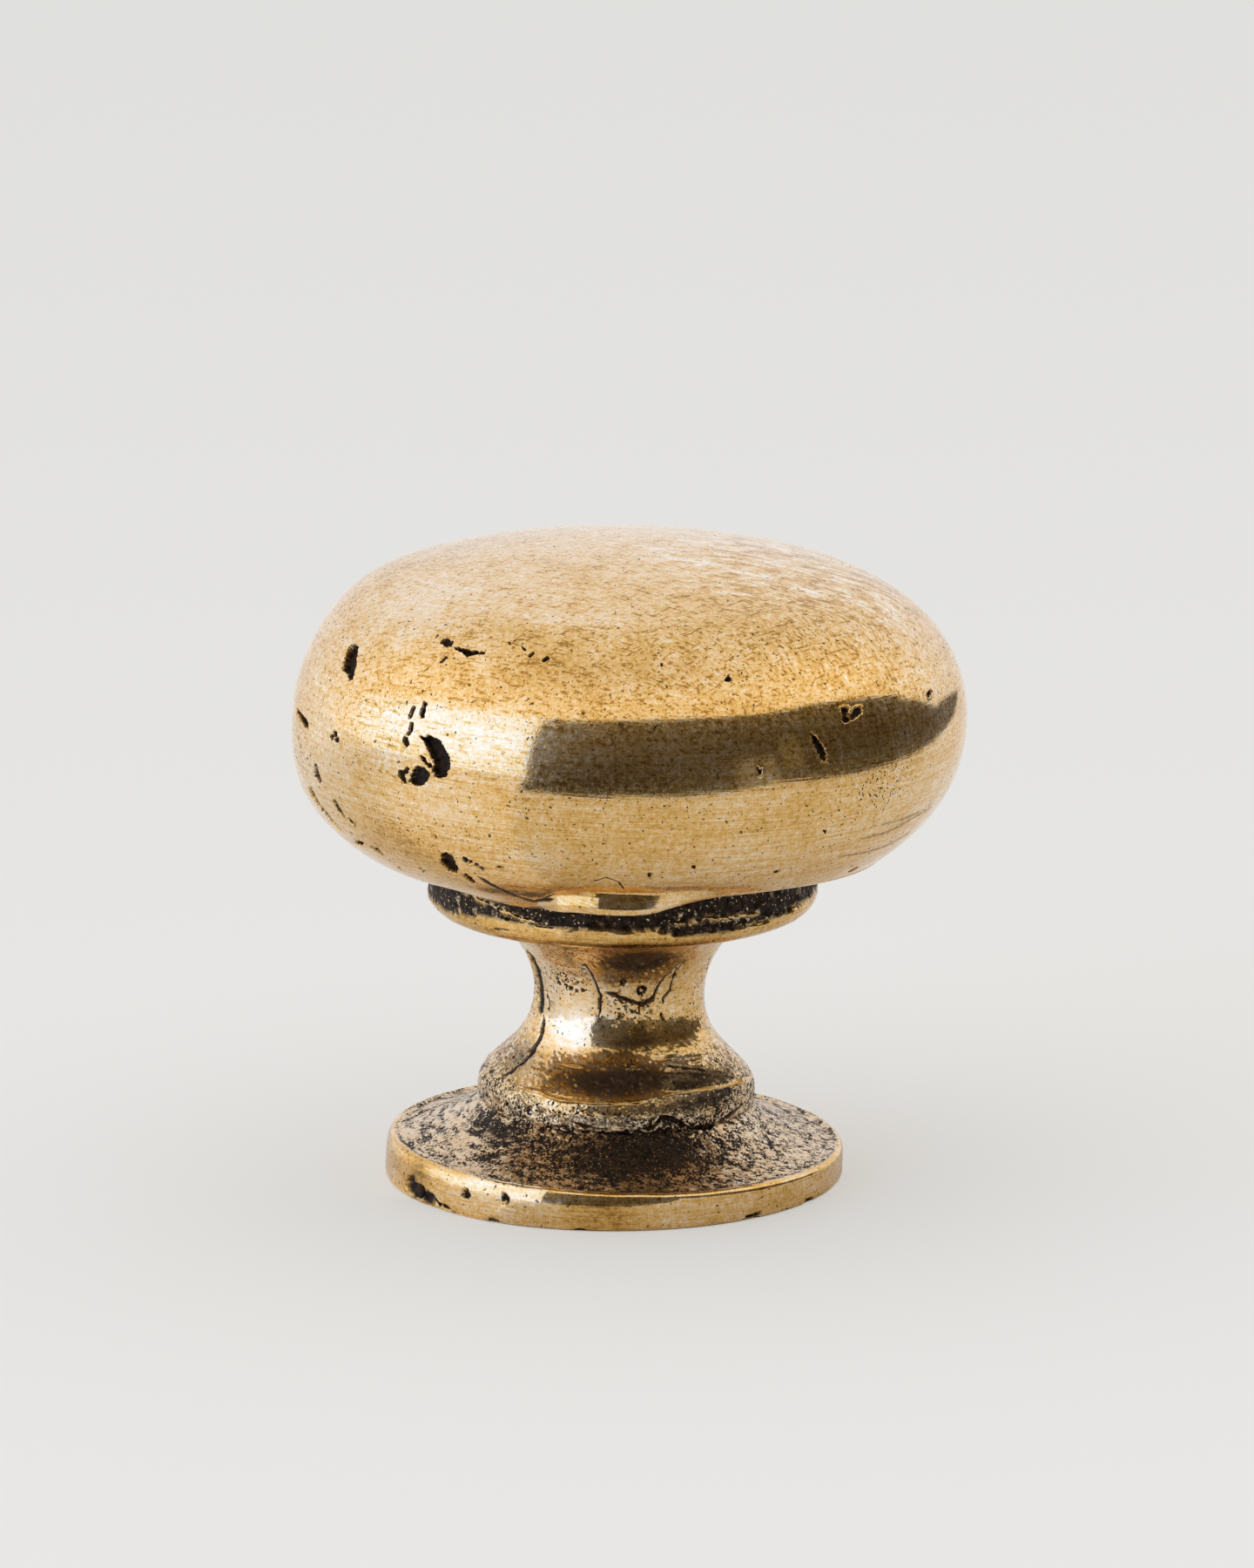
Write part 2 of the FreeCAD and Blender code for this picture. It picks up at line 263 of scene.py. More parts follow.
# Pits and slashes of the head: azimuth, arc length from the top, and the outline round that point as
# x, y, x, y ... in hundredths of a millimetre
PITS = [
    (207.1, 18.87, (-95, 83, -57, 89, -11, 77, 35, 23, 81, -25, 111, -85, 88, -91, 42, -61, -26, -55, -65,
     -7, -103, 53)),
    (229, 16.09, (-41, -3, -34, 21, -14, 27, 41, 9, 48, -15, 20, -27, -20, -15)),
    (235.3, 16.45, (-98, 15, -49, 15, 13, 15, 62, 15, 110, 9, 76, -3, 34, -15, 13, -33, -14, -15, -56, -3,
     -91, 3)),
    (231, 17.25, (0, 23, 14, 17, 0, -20, -14, -20)),
    (225.4, 15.8, (-3, 11, 3, 11, 3, -14, -3, -8)),
    (247.1, 15.7, (-15, 12, 5, 6, 12, -12, -2, -6)),
    (249.3, 16.09, (5, 21, 12, 9, -2, -21, -15, -9)),
    (252.6, 16.34, (5, 23, 19, 5, -9, -20, -16, -8)),
    (243.3, 15.4, (-8, 12, 5, 0, 11, -12, -8, 0)),
    (235.7, 22.66, (-114, 83, -81, 77, -65, 95, -15, 89, 26, 71, 59, 35, 92, -1, 101, -49, 84, -103, 59,
     -121, 18, -121, -7, -85, 10, -55, -23, -13, -56, 29, -89, 65)),
    (234.2, 23.18, (-40, 27, -24, 27, 1, 3, 34, -9, 43, -21, 26, -27, -7, -9, -32, 9)),
    (229.6, 24.1, (-45, 11, -3, 23, 13, 41, 30, 41, 30, 17, -3, -1, 13, -25, 13, -50, -12, -43, -37, -13)),
    (232.9, 24, (-47, 25, -14, 49, 19, 49, 52, 37, 69, 19, 52, -23, 27, -47, -31, -59, -72, -41, -56, -11)),
    (229.1, 20.64, (-2, 37, 14, 31, 6, -29, -10, -35, -10, -5)),
    (231.4, 20.37, (-14, 46, 10, 34, 10, 4, 18, -32, 2, -44, -14, -26, -14, 16)),
    (229.7, 21.54, (-7, 38, 10, 32, 18, -4, 1, -34, -15, -34, -7, 2)),
    (229.3, 22.27, (-18, 26, 7, 20, 23, -10, 7, -28, -18, -10)),
    (210.8, 22.97, (-17, 6, 8, 6, 17, -6, -8, -6)),
    (209.9, 23.24, (-15, 3, 10, 9, 10, -3, -6, -9)),
    (211.6, 23.25, (-19, -2, 15, 11, 15, -2, -10, -8)),
    (196.2, 23.23, (-175, 15, -125, 21, 83, 9, 116, -3, 116, -15, 50, -21, -66, -3)),
    (204.2, 25.77, (-32, 45, 9, 51, 26, 9, 43, -28, 9, -46, -15, -34, -40, 3)),
    (201.3, 28.16, (-97, 108, -57, 108, 6, 29, 85, -32, 125, -106, 101, -115, 14, -62, -57, 5, -120, 65)),
    (210, 27.47, (-39, 39, -7, 45, 17, 3, 34, -33, 17, -39, -23, -15)),
    (213.1, 28.11, (-20, 18, -4, 12, 20, -12, 4, -18)),
    (235.8, 29.56, (-41, 23, -11, 72, 20, 90, 50, 72, 50, 11, 50, -36, 5, -93, -26, -78, -41, -42, -56,
     -19)),
    (238.7, 30.83, (-28, 28, 1, 51, 23, 23, 23, -32, 1, -58, -20, -13)),
    (240.1, 28.99, (-9, 21, 14, 21, 14, -9, -2, -24, -17, -9)),
    (241.1, 29.12, (-4, 11, 12, 11, 4, -11, -12, -11)),
    (242.1, 29.3, (-2, 16, 13, 7, -2, -18, -10, -5)),
    (242.9, 29.54, (-6, 19, 17, 6, 2, -19, -13, -6)),
    (246.8, 29.27, (-10, 13, 21, 4, 6, -8, -17, -9)),
    (216.8, 30.05, (7, 27, 15, -12, -7, -22, -15, 8)),
    (218.6, 31.57, (12, 21, 12, -3, -9, -15, -16, -3)),
    (227.2, 30.83, (0, 22, 22, 0, -7, -22, -14, 0)),
    (210.1, 29.97, (-11, 10, 79, 29, -11, -20, -56, -20)),
    (215.5, 29.9, (0, 12, 22, 2, -7, -17, -15, 3)),
    (288.8, 17.56, (7, 24, 15, -12, -22, -12)),
    (304, 22.08, (-41, 86, -16, 62, 25, 2, 41, -53, 41, -77, 8, -65, -16, -11, -41, 56)),
    (310.7, 20.49, (-23, 35, 9, 41, 41, 29, 9, -2, 25, -32, -15, -44, -31, -26, -15, -2)),
    (313.2, 20.5, (0, 24, 48, 24, 48, 0, 8, -18, -40, -30, -48, -6, -16, 6)),
    (292.4, 22.94, (-15, 22, 2, 4, 18, 10, 2, -26, -7, -8)),
    (335.2, 20.73, (-32, 5, 32, 17, 40, 5, -8, -13, -32, -13)),
    (322.5, 31.38, (-42, 0, -7, 35, 35, 13, 28, -26, -14, -22)),
    (299.1, 29.68, (-19, 0, 19, 16, 11, -7, -11, -10)),
    (282.2, 28.7, (-8, 11, 8, 5, 8, -14, -8, -2)),
    (274.5, 29.29, (-8, 10, 8, 15, 8, -12, -8, -12)),
    (306.4, 27.06, (-14, 10, 11, -2, 3, -8)),
    (276, 16.44, (-7, 8, 7, 2, 0, -10)),
]

# Cracks, seams, grooves and scratches: azimuth and arc length of their points, half width and depth
CRACKS = [
    (((240.8, 30.22), (242.5, 30.95), (245, 31.79), (247, 32.49), (250.2, 33.14), (256.2, 32.02)), 0.22,
     0.05),
    (((264, 29.97), (266.8, 29.53), (268.8, 29.93), (270, 30.73)), 0.04, 0.06),
    (((203.5, 46.62), (202.8, 47.77), (202, 49.17), (203.8, 50.43), (210, 50.67)), 0.46, 0.14),
    (((209.2, 50.61), (214.4, 51.72), (214.5, 53.33), (211.5, 54.25), (206.8, 55.2)), 0.2, 0.12),
    (((212.2, 49.41), (215.5, 49.95), (215.8, 50.49)), 0.06, 0.07),
    (((248.5, 46.62), (254.5, 48.2), (257, 48.92), (256.8, 50.31)), 0.075, 0.12),
    (((258.8, 48.68), (264.2, 48.8), (274.2, 49.1), (280.8, 49.35), (285.8, 49.47), (293.5, 49.1), (296.8,
     48.2), (302.5, 47.41), (309.5, 46.5)), 0.09, 0.14),
    (((310.5, 46.69), (305.8, 47.59), (305.5, 48.74), (301, 49.17), (299.8, 49.65)), 0.08, 0.12),
    (((298.5, 50.01), (302.2, 50.55)), 0.08, 0.1),
    (((283.8, 49.41), (283.5, 50.01)), 0.04, 0.08),
    (((249, 56.54), (259.8, 56.98), (274.2, 57.26), (285.8, 56.79), (288.8, 56.29), (293, 56.36), (301,
     56.98), (313, 57.45), (319, 56.98), (340.8, 56.36)), 0.12, 0.2),
    (((301.5, 57.87), (301.2, 58.84), (300.8, 59.87)), 0.05, 0.1),
    (((230, 62.81), (238.2, 62.94), (246, 63), (252, 63)), 0.045, 0.08),
    (((295, 52.95), (317.5, 53.61), (337.2, 54.77)), 0.09, 0.1),
    (((311.5, 29.2), (318.8, 29.43), (327.8, 29.53), (335.8, 29.14)), 0.07, 0.02),
    (((315, 28.11), (323.8, 28.17), (333, 27.74), (340.2, 27.68)), 0.09, 0.02),
    (((319.5, 27.44), (329, 27.56), (333.2, 27.5)), 0.06, 0.02),
    (((229, 40.59), (235.3, 40.46)), 0.05, 0.08),
]

# Ledges of the shoulder, hollow above the line and standing up at it: points, depth and reach
LEDGES = [
    (((288, 55.1), (294.5, 54.92), (313, 54.85), (326.8, 55.16), (344, 55.6)), 0.34, 1),
    (((290.8, 53.63), (303.5, 53.57), (319, 53.94), (339, 54.79)), 0.16, 0.6),
    (((292.5, 52.91), (299.8, 52.79), (309.2, 52.91), (328.5, 53.03)), 0.08, 0.35),
    (((301, 55.98), (314.5, 56.1), (329.5, 55.98), (345.5, 55.92)), 0.18, 0.5),
]

# Raised lines of the shoulder, seam and collar: points, half width and height
RIDGES = [
    (((218.5, 55.22), (233.5, 55.29), (246.5, 55.54), (257.8, 55.48), (278.8, 55.35), (288, 55.1)), 0.09,
     0.17),
    (((288, 54.96), (300.8, 54.83), (323.2, 55.02), (347.5, 55.33)), 0.1, 0.14),
    (((199, 46.75), (196.5, 47.96), (191.2, 49.47), (195.5, 50.67)), 0.1, 0.06),
    (((210.8, 38.79), (218.8, 38.97), (226.5, 39.22), (233.8, 39.4), (240.8, 39.53), (247.8, 39.59)), 0.12,
     0.12),
    (((251.8, 46.26), (255.5, 47.05)), 0.05, 0.05),
    (((283, 39.67), (287.5, 39.73), (291.8, 39.73), (295, 39.61), (299.2, 39.67), (304.8, 39.73), (309.5,
     39.73), (315.8, 39.79)), 0.07, 0.13),
]

# Pits and chips of the foot's side wall: azimuth, height, length, width, depth, turn
CHIPS = [
    (230, 1.18, 0.62, 0.55, 0.35, 0), (241.8, 1.4, 0.65, 0.42, 0.3, -45), (210.5, 0.55, 2.4, 1, 0.3, 0),
    (216, 0.35, 2.6, 0.9, 0.34, -8), (221.5, 0.12, 2.4, 0.6, 0.32, 0), (208, 0.95, 1.2, 0.5, 0.2, 10),
    (307, 0.15, 1.5, 0.62, 0.26, 12), (328, 0.1, 1.1, 0.5, 0.2, 0), (238.5, 0.05, 0.8, 0.46, 0.2, 0),
    (262, 0.02, 0.7, 0.34, 0.16, 0),
]

# Round pits of the neck: azimuth, arc length, outer and inner radius
DOTS = [
    (272, 48.02, 0.22, 0), (284.3, 48.62, 0.3, 0.1), (225.8, 48.2, 0.1, 0), (226.5, 48.5, 0.15, 0),
    (232.8, 47.77, 0.09, 0), (236.2, 48.68, 0.13, 0), (240.5, 48.8, 0.12, 0), (242.2, 48.26, 0.09, 0),
    (245.2, 48.74, 0.12, 0), (247.8, 47.23, 0.09, 0), (248, 46.93, 0.09, 0), (218.8, 48.38, 0.09, 0),
    (233, 48.56, 0.1, 0), (245.5, 48.2, 0.08, 0), (229, 46.56, 0.08, 0), (232.8, 47.17, 0.07, 0),
]

# Spongy places of the neck and shoulder: azimuth, arc length, half width, half height, how many pits
SPONGE = [
    (233, 48.1, 1.3, 1, 1), (277, 49.9, 2.2, 1.1, 1), (243, 45.6, 2.6, 0.8, 0.8),
    (283, 46.7, 2.4, 0.8, 0.7), (202, 53.9, 2.2, 1.5, 0.9), (338, 54.1, 2, 1.5, 0.9),
    (266, 54.2, 3.2, 0.7, 0.6), (270, 56.1, 5.5, 0.5, 1), (190, 49, 2.5, 3, 0.8), (350, 49, 2, 3, 0.7),
    (275, 52.9, 1, 0.4, 0.9), (226, 57, 3.4, 1.3, 1),
]

# Specked places of the head, in the same terms
PEPPER = [
    (317, 25, 2.6, 1.5, 0.85), (228, 28, 3, 1.4, 0.55), (196, 25, 3, 3, 0.55), (300, 15.5, 5, 3, 0.35),
    (250, 27.5, 3.5, 1.5, 0.35),
]

# Paler (+) and deeper (-) places of the metal: its own uneven tone, plus painted highlights where the window
# shines on the head's lower left, the neck and the rim at the left, a painted sheen on the top of the dome,
# and painted light on the front wall of the shoulder
TONES_AND_PAINTED_LIGHT = [
    (238, 25.5, 3, 1.6, 0.25), (230, 21, 4.5, 2.2, 0.9), (248, 21.4, 3.6, 1.8, 1), (208, 13.8, 5, 4, 0.6),
    (187, 21.5, 3, 4, -0.45), (192, 17.5, 6, 7, 0.4), (226, 28.6, 3.6, 1.5, -0.7), (270, 27, 6, 1.6, -0.2),
    (300, 25.6, 4, 1.6, -0.15), (275, 18.7, 13, 1.2, 0.02), (250, 12.5, 2.6, 0.8, 0.6),
    (268, 12.7, 2.4, 0.5, 0.5), (270, 2, 60, 9, 0.5), (299, 14.1, 4, 3, -0.1), (262, 31, 4, 1, -0.35),
    (235, 51.5, 2, 1.2, 0.3), (206, 24, 5, 4.5, 0.45), (225, 47.5, 6, 4.5, 0.55), (247, 51, 2.6, 1.4, 0.8),
    (300, 48, 5, 4, -0.15), (270, 41, 22, 1.1, -0.8), (267, 64.2, 2.2, 1.2, -1.1),
    (239, 63.3, 4.2, 1, 0.85), (212, 63.9, 2.4, 1.4, -0.7), (307.5, 52.77, 1.1, 0.3, 1.2),
    (280, 51.3, 3.4, 1.1, -1), (268, 56.6, 6, 0.5, 0.9), (338, 20, 5, 5, 0.3), (335, 26.5, 5, 3, 0.15),
]

# Where soot and wax have stayed on the metal, and painted shade: under the collar, at the top of the neck,
# and on the front of the shoulder and the foot
SOOT_AND_PAINTED_SHADE = [
    (286, 58.7, 4.4, 2.2, 0.58), (215, 58.5, 2.6, 0.9, 0.45), (266, 54.3, 2.6, 0.6, 0.12),
    (279, 46.3, 2.6, 1.1, 1), (333, 54.4, 1.6, 0.6, 0.45), (270, 42.9, 20, 1.2, 1.3),
    (246, 31.9, 4, 0.9, 0.55), (262, 60, 3.4, 1.6, 0.4), (264, 54.15, 5.4, 1.5, 0.6),
    (281, 53.6, 1.6, 0.8, 0.3), (204, 48.5, 0.9, 2.4, 0.5), (209, 53.5, 1.2, 1.6, 0.4),
    (305.2, 54.16, 1.7, 0.55, 0.85), (311, 55.52, 2.3, 0.4, 0.8), (281, 51.6, 2.6, 0.8, 0.52),
    (212, 63.6, 1.8, 1, 0.42), (228, 58.9, 4.2, 1.6, 0.12),
]

# Where the hand-finished head departs from a turned form: azimuth, latitude, height in mm
WARPS = [
    (180, 0, -0.15), (161, 53, 0.17), (173, 26, -0.1), (23, 58, -0.17), (40, 69, -0.12), (3, 13, 0.1),
    (345, -47, -0.12), (187, -27, 0.15),
]
WARP_WIDTH = math.radians(13)

# Height of the lower edge of the dark band on the collar, by azimuth
BAND_LOW = [
    (20, 16.8), (90, 16.8), (150, 16.7), (190, 16.45), (211, 16.5), (225, 16.85), (237, 16.95),
    (246, 16.85), (253, 16.9), (261, 17), (269, 17.02), (280, 16.87), (286, 16.54), (290, 16.48),
    (295, 16.42), (304, 16.48), (318, 16.6), (334, 16.8),
]

# The lattice: columns round the knob, how often a cell may be halved, and the crown's open middle
COLUMNS, DEEPEST, POLE_T = 64, 5, 0.03
# A cell may be this much larger than wanted
SLACK = 1.05
UNIT = 2 ** DEEPEST
AROUND = COLUMNS * UNIT
ROW_SEC = np.concatenate([[k] * n for k, n in enumerate(ROWS)])
ROW_T0 = np.concatenate([np.arange(n) / n for n in ROWS])
ROW_DT = np.concatenate([np.full(n, 1 / n) for n in ROWS])
RIM_FIRST, RIM_LAST = NAMES.index("rround"), NAMES.index("brim")
# Marks above this arc length belong to the head, the others to what is under its heel
HIDDEN_S = 34.0
# The pits are a little wider at the skin than their outlines, most of all those at the far left
GROWN, GROWN_LEFT, LEFT_AZ = 0.045, 0.11, 217
SCRATCH_DEPTH = 0.03
# Normals are taken this far to each side, in mm
NORMAL_REACH, MM = 0.03, 0.001
# More than BACK_FROM degrees from the front, the cells are coarser
FRONT_AZ, BACK_FROM, BACK_COARSER = 270, 112, 1.9
# Cells beside a mark, in mm, and where the filed flat lies
BESIDE, BESIDE_CELL, ANY_CELL, FACET_AZ, FACET_HALF = 0.2, 0.17, 9, 274, 29
THREAD_PITCH, THREAD_DEPTH = 0.7, 0.35
QUALITIES = ("grime", "cast", "hollow", "tone", "soot_and_painted_shade", "pitted")


def params(u, v):
    """Stretch, place along it and azimuth of lattice positions."""
    row = np.clip((u // UNIT).astype(int), 0, len(ROW_SEC) - 1)
    sec = ROW_SEC[row]
    t = ROW_T0[row] + ROW_DT[row] * (u / UNIT - row)
    t = np.where(sec == 0, POLE_T + (1 - POLE_T) * t, t)
    return sec, np.clip(t, 0, 1), (v / AROUND) * 2 * math.pi + math.pi / 2


def hashed(i, j, k, seed):
    h = (i * 374761393 + j * 668265263 + k * 2147483647 + seed * 1274126177) & 0xFFFFFFFF
    h = ((h ^ (h >> 13)) * 1274126177) & 0xFFFFFFFF
    h = ((h ^ (h >> 16)) * 2246822519) & 0xFFFFFFFF
    return h ^ (h >> 15)


def noise(p, scale, seed):
    """Gradient noise from -1 to 1, with features of about 1/scale."""
    q = p * scale + seed * 17.13
    cell = np.floor(q).astype(np.int64)
    f = q - cell
    w = f * f * f * (f * (f * 6 - 15) + 10)
    total = np.zeros(len(p))
    for corner in np.ndindex(2, 2, 2):
        h = hashed(*(cell + corner).T, seed)
        dot, weight = 0, 1
        for k, shift in enumerate((0, 10, 20)):
            dot = dot + (((h >> shift) & 1023) / 511.5 - 1) * (f[:, k] - corner[k])
            weight = weight * (w[:, k] if corner[k] else 1 - w[:, k])
        total += dot * weight
    return np.clip(total * 1.5, -1, 1)


def step(x, a, b):
    x = np.clip((x - a) / (b - a), 0, 1)
    return x * x * (3 - 2 * x)


def polygon(x, y, pts):
    """Signed distance to a closed outline, negative inside."""
    best = np.full(len(x), 1e9)
    inside = np.zeros(len(x), bool)
    for (ax, ay), (bx, by) in zip(pts, pts[1:] + pts[:1]):
        ex, ey = bx - ax, by - ay
        wx, wy = x - ax, y - ay
        h = np.clip((wx * ex + wy * ey) / (ex * ex + ey * ey + 1e-12), 0, 1)
        best = np.minimum(best, np.hypot(wx - ex * h, wy - ey * h))
        inside ^= ((ay > y) != (by > y)) & (x < ex * (y - ay) / (ey if ey else 1e-12) + ax)
    return np.where(inside, -best, best)


def polyline(x, y, pts):
    """Distance to an open line, the side (positive above), and how far along it, 0 to 1."""
    best = np.full(len(x), 1e9)
    side, far = np.zeros(len(x)), np.zeros(len(x))
    total = sum(math.dist(a, b) for a, b in zip(pts, pts[1:]))
    gone = 0.0
    for (ax, ay), (bx, by) in zip(pts, pts[1:]):
        ex, ey = bx - ax, by - ay
        size = math.hypot(ex, ey)
        wx, wy = x - ax, y - ay
        h = np.clip((wx * ex + wy * ey) / (size * size), 0, 1)
        d = np.hypot(wx - ex * h, wy - ey * h)
        closer = d < best
        best = np.where(closer, d, best)
        side = np.where(closer, np.sign(ex * wy - ey * wx), side)
        far = np.where(closer, (gone + h * size) / total, far)
        gone += size
    return best, side, far


def turned_from(az, a):
    """Degrees round from azimuth a, -180 to 180."""
    return (az - a + 180) % 360 - 180


def near(sec, s, az, az0, s0, r0, reach):
    """The places within reach of a mark, and how far right of it and above it they are, seen from outside."""
    x, y = r0 * np.radians(turned_from(az, az0)), s0 - s
    own = sec <= LOW + 1 if s0 < HIDDEN_S else sec > LOW + 1
    m = np.nonzero((np.abs(x) < reach) & (np.abs(y) < reach) & own)[0]
    return m, x[m], y[m]


def radius_at(s):
    if START[LOW] < s < START[LOW + 2]:
        return float(low_r(np.interp(s, ARC_S, ARC_Z)))
    k = min(int(np.searchsorted(START, s, side="right")) - 1, len(NAMES) - 1)
    t = np.array([(s - START[k]) / LEN[k]])
    return float(outline(np.array([k]), t, np.array([math.radians(270)]))[0][0])


def pit_mark(az0, s0, flat):
    """Middle, radius there, outline in mm and reach of a pit."""
    pts = [(x / 100, y / 100) for x, y in zip(flat[::2], flat[1::2])]
    return az0, s0, radius_at(s0), pts, max(math.hypot(x, y) for x, y in pts)


def line_mark(pts, *sizes):
    """Middle, radius there, points in mm and reach of a line, and its sizes."""
    az0 = sum(p[0] for p in pts) / len(pts)
    s0 = sum(p[1] for p in pts) / len(pts)
    r0 = radius_at(s0)
    flat = [(r0 * math.radians(a - az0), s0 - s) for a, s in pts]
    return (az0, s0, r0, flat, max(math.hypot(x, y) for x, y in flat)) + sizes


PIT_MARKS = [pit_mark(*pit) for pit in PITS]
CRACK_MARKS, LEDGE_MARKS, RIDGE_MARKS = ([line_mark(*line) for line in group]
                                         for group in (CRACKS, LEDGES, RIDGES))
DOT_MARKS = [(a, s, radius_at(s), outer, inner) for a, s, outer, inner in DOTS]


def grown(az0):
    return GROWN_LEFT if az0 < LEFT_AZ else GROWN


def row_height(row, phi):
    sec = ROW_SEC[row]
    return np.abs(along(sec, ROW_T0[row] + ROW_DT[row], phi) - along(sec, ROW_T0[row], phi))


def graded(d, half, fine):
    """Fine cells within half of a line, middling ones a little further, and any size beyond."""
    return np.where(d < half, fine, np.where(d < BESIDE, BESIDE_CELL, ANY_CELL))


def detail_need(sec, t, phi, s, az):
    """Cell size wanted at a place of the skin."""
    want = np.array(CELL)[sec]
    back = np.abs(turned_from(az, FRONT_AZ)) > BACK_FROM
    want = np.where(back & (want < 0.6), want * BACK_COARSER, want)

    def refine(m, cell):
        want[m] = np.minimum(want[m], cell)

    for az0, s0, r0, pts, ext in PIT_MARKS:
        m, x, y = near(sec, s, az, az0, s0, r0, ext + 1.0)
        d = np.abs(polygon(x, y, pts) - grown(az0))
        rim = 0.07 if ext > 0.3 or s0 < START[LOW] else 0.125
        refine(m, graded(d, 0.07, rim))
    for az0, s0, r0, flat, ext, wide, deep in CRACK_MARKS + LEDGE_MARKS + RIDGE_MARKS:
        m, x, y = near(sec, s, az, az0, s0, r0, ext + 0.6)
        d = polyline(x, y, flat)[0]
        fine = 0.08 if wide < 0.15 and deep > SCRATCH_DEPTH else 0.12
        refine(m, graded(d, 0.10, fine))
    for az0, s0, r0, outer, inner in DOT_MARKS:
        m, x, y = near(sec, s, az, az0, s0, r0, outer + 0.1)
        refine(m[np.hypot(x, y) < outer + 0.07], 0.08)
    z = outline(sec, t, phi)[1]
    for a, h, length, width, deep, turn in CHIPS:
        x = FOOT_R * np.radians(turned_from(az, a))
        close = np.hypot(x / (length / 2 + 0.1), (z - h) / (width / 2 + 0.1)) < 1.1
        refine((sec >= RIM_FIRST) & (sec <= RIM_LAST) & close, 0.16)
    refine((sec > LOW) & (sec <= LOW + 2) & (np.abs(az - FACET_AZ) < FACET_HALF), 0.2)
    return want


def quarters(u, v, half):
    return np.concatenate([u, u + half, u, u + half]), np.concatenate([v, v, v + half, v + half])


def lattice():
    """Cells of the skin, halved until each is as small as the detail there needs."""
    rows = len(ROW_SEC)
    iu, iv = np.meshgrid(np.arange(rows) * UNIT, np.arange(COLUMNS) * UNIT, indexing="ij")
    iu, iv, lv = iu.ravel(), iv.ravel(), np.zeros(iu.size, int)
    done = []
    for level in range(DEEPEST):
        size = UNIT >> level
        uc, vc = iu + size / 2, iv + size / 2
        sec, t, phi = params(uc, vc)
        s = along(sec, t, phi)
        r, z = outline(sec, t, phi)
        height = row_height((uc // UNIT).astype(int), phi) * size / UNIT
        wide = 2 * math.pi * r / COLUMNS * size / UNIT
        az = np.degrees(phi) % 360
        # the nearest detail within the cell counts, not only at its centre
        want = detail_need(sec, t, phi, s, az)
        for fu, fv in ((-0.33, -0.33), (-0.33, 0.33), (0.33, -0.33), (0.33, 0.33)):
            beside = (az + np.degrees(fv * wide / np.maximum(r, 0.3))) % 360
            want = np.minimum(want, detail_need(sec, t, phi, s + fu * height, beside))
        split = np.maximum(height, wide) > want * SLACK
        done.append((iu[~split], iv[~split], lv[~split]))
        iu, iv = quarters(iu[split], iv[split], size // 2)
        lv = np.full(len(iu), level + 1)
    done.append((iu, iv, lv))
    iu, iv, lv = (np.concatenate(c) for c in zip(*done))
    chart = np.zeros((rows * UNIT, AROUND), np.int8)

    def paint(u, v, l):
        for level in range(DEEPEST + 1):
            m = l == level
            if m.any():
                k = np.arange(UNIT >> level)
                chart[u[m][:, None, None] + k[:, None], v[m][:, None, None] + k] = level

    paint(iu, iv, lv)
    # neighbours may differ by one halving only
    while True:
        split = np.zeros(len(iu), bool)
        for level in range(DEEPEST - 1):
            m = np.nonzero(lv == level)[0]
            if not len(m):
                continue
            size = UNIT >> level
            k = np.arange(size)
            u, v = iu[m][:, None], iv[m][:, None]
            top = chart[np.maximum(u - 1, 0), v + k].max(1)
            low = chart[np.minimum(u + size, rows * UNIT - 1), v + k].max(1)
            left = chart[u + k, (v - 1) % AROUND].max(1)
            right = chart[u + k, (v + size) % AROUND].max(1)
            split[m] = np.maximum.reduce([top, low, left, right]) > level + 1
        if not split.any():
            return iu, iv, lv
        cu, cv = quarters(iu[split], iv[split], (UNIT >> lv[split]) // 2)
        cl = np.tile(lv[split] + 1, 4)
        iu, iv, lv = (np.concatenate([a[~split], b]) for a, b in ((iu, cu), (iv, cv), (lv, cl)))
        paint(cu, cv, cl)


def spot(az, s, r, where):
    """Sum of soft spots at each place of the skin."""
    total = np.zeros(len(az))
    for a, s0, half_w, half_h, amount in where:
        x = r * np.radians(turned_from(az, a)) / half_w
        total += amount * np.exp(-1.1 * (x * x + ((s - s0) / half_h) ** 2))
    return total


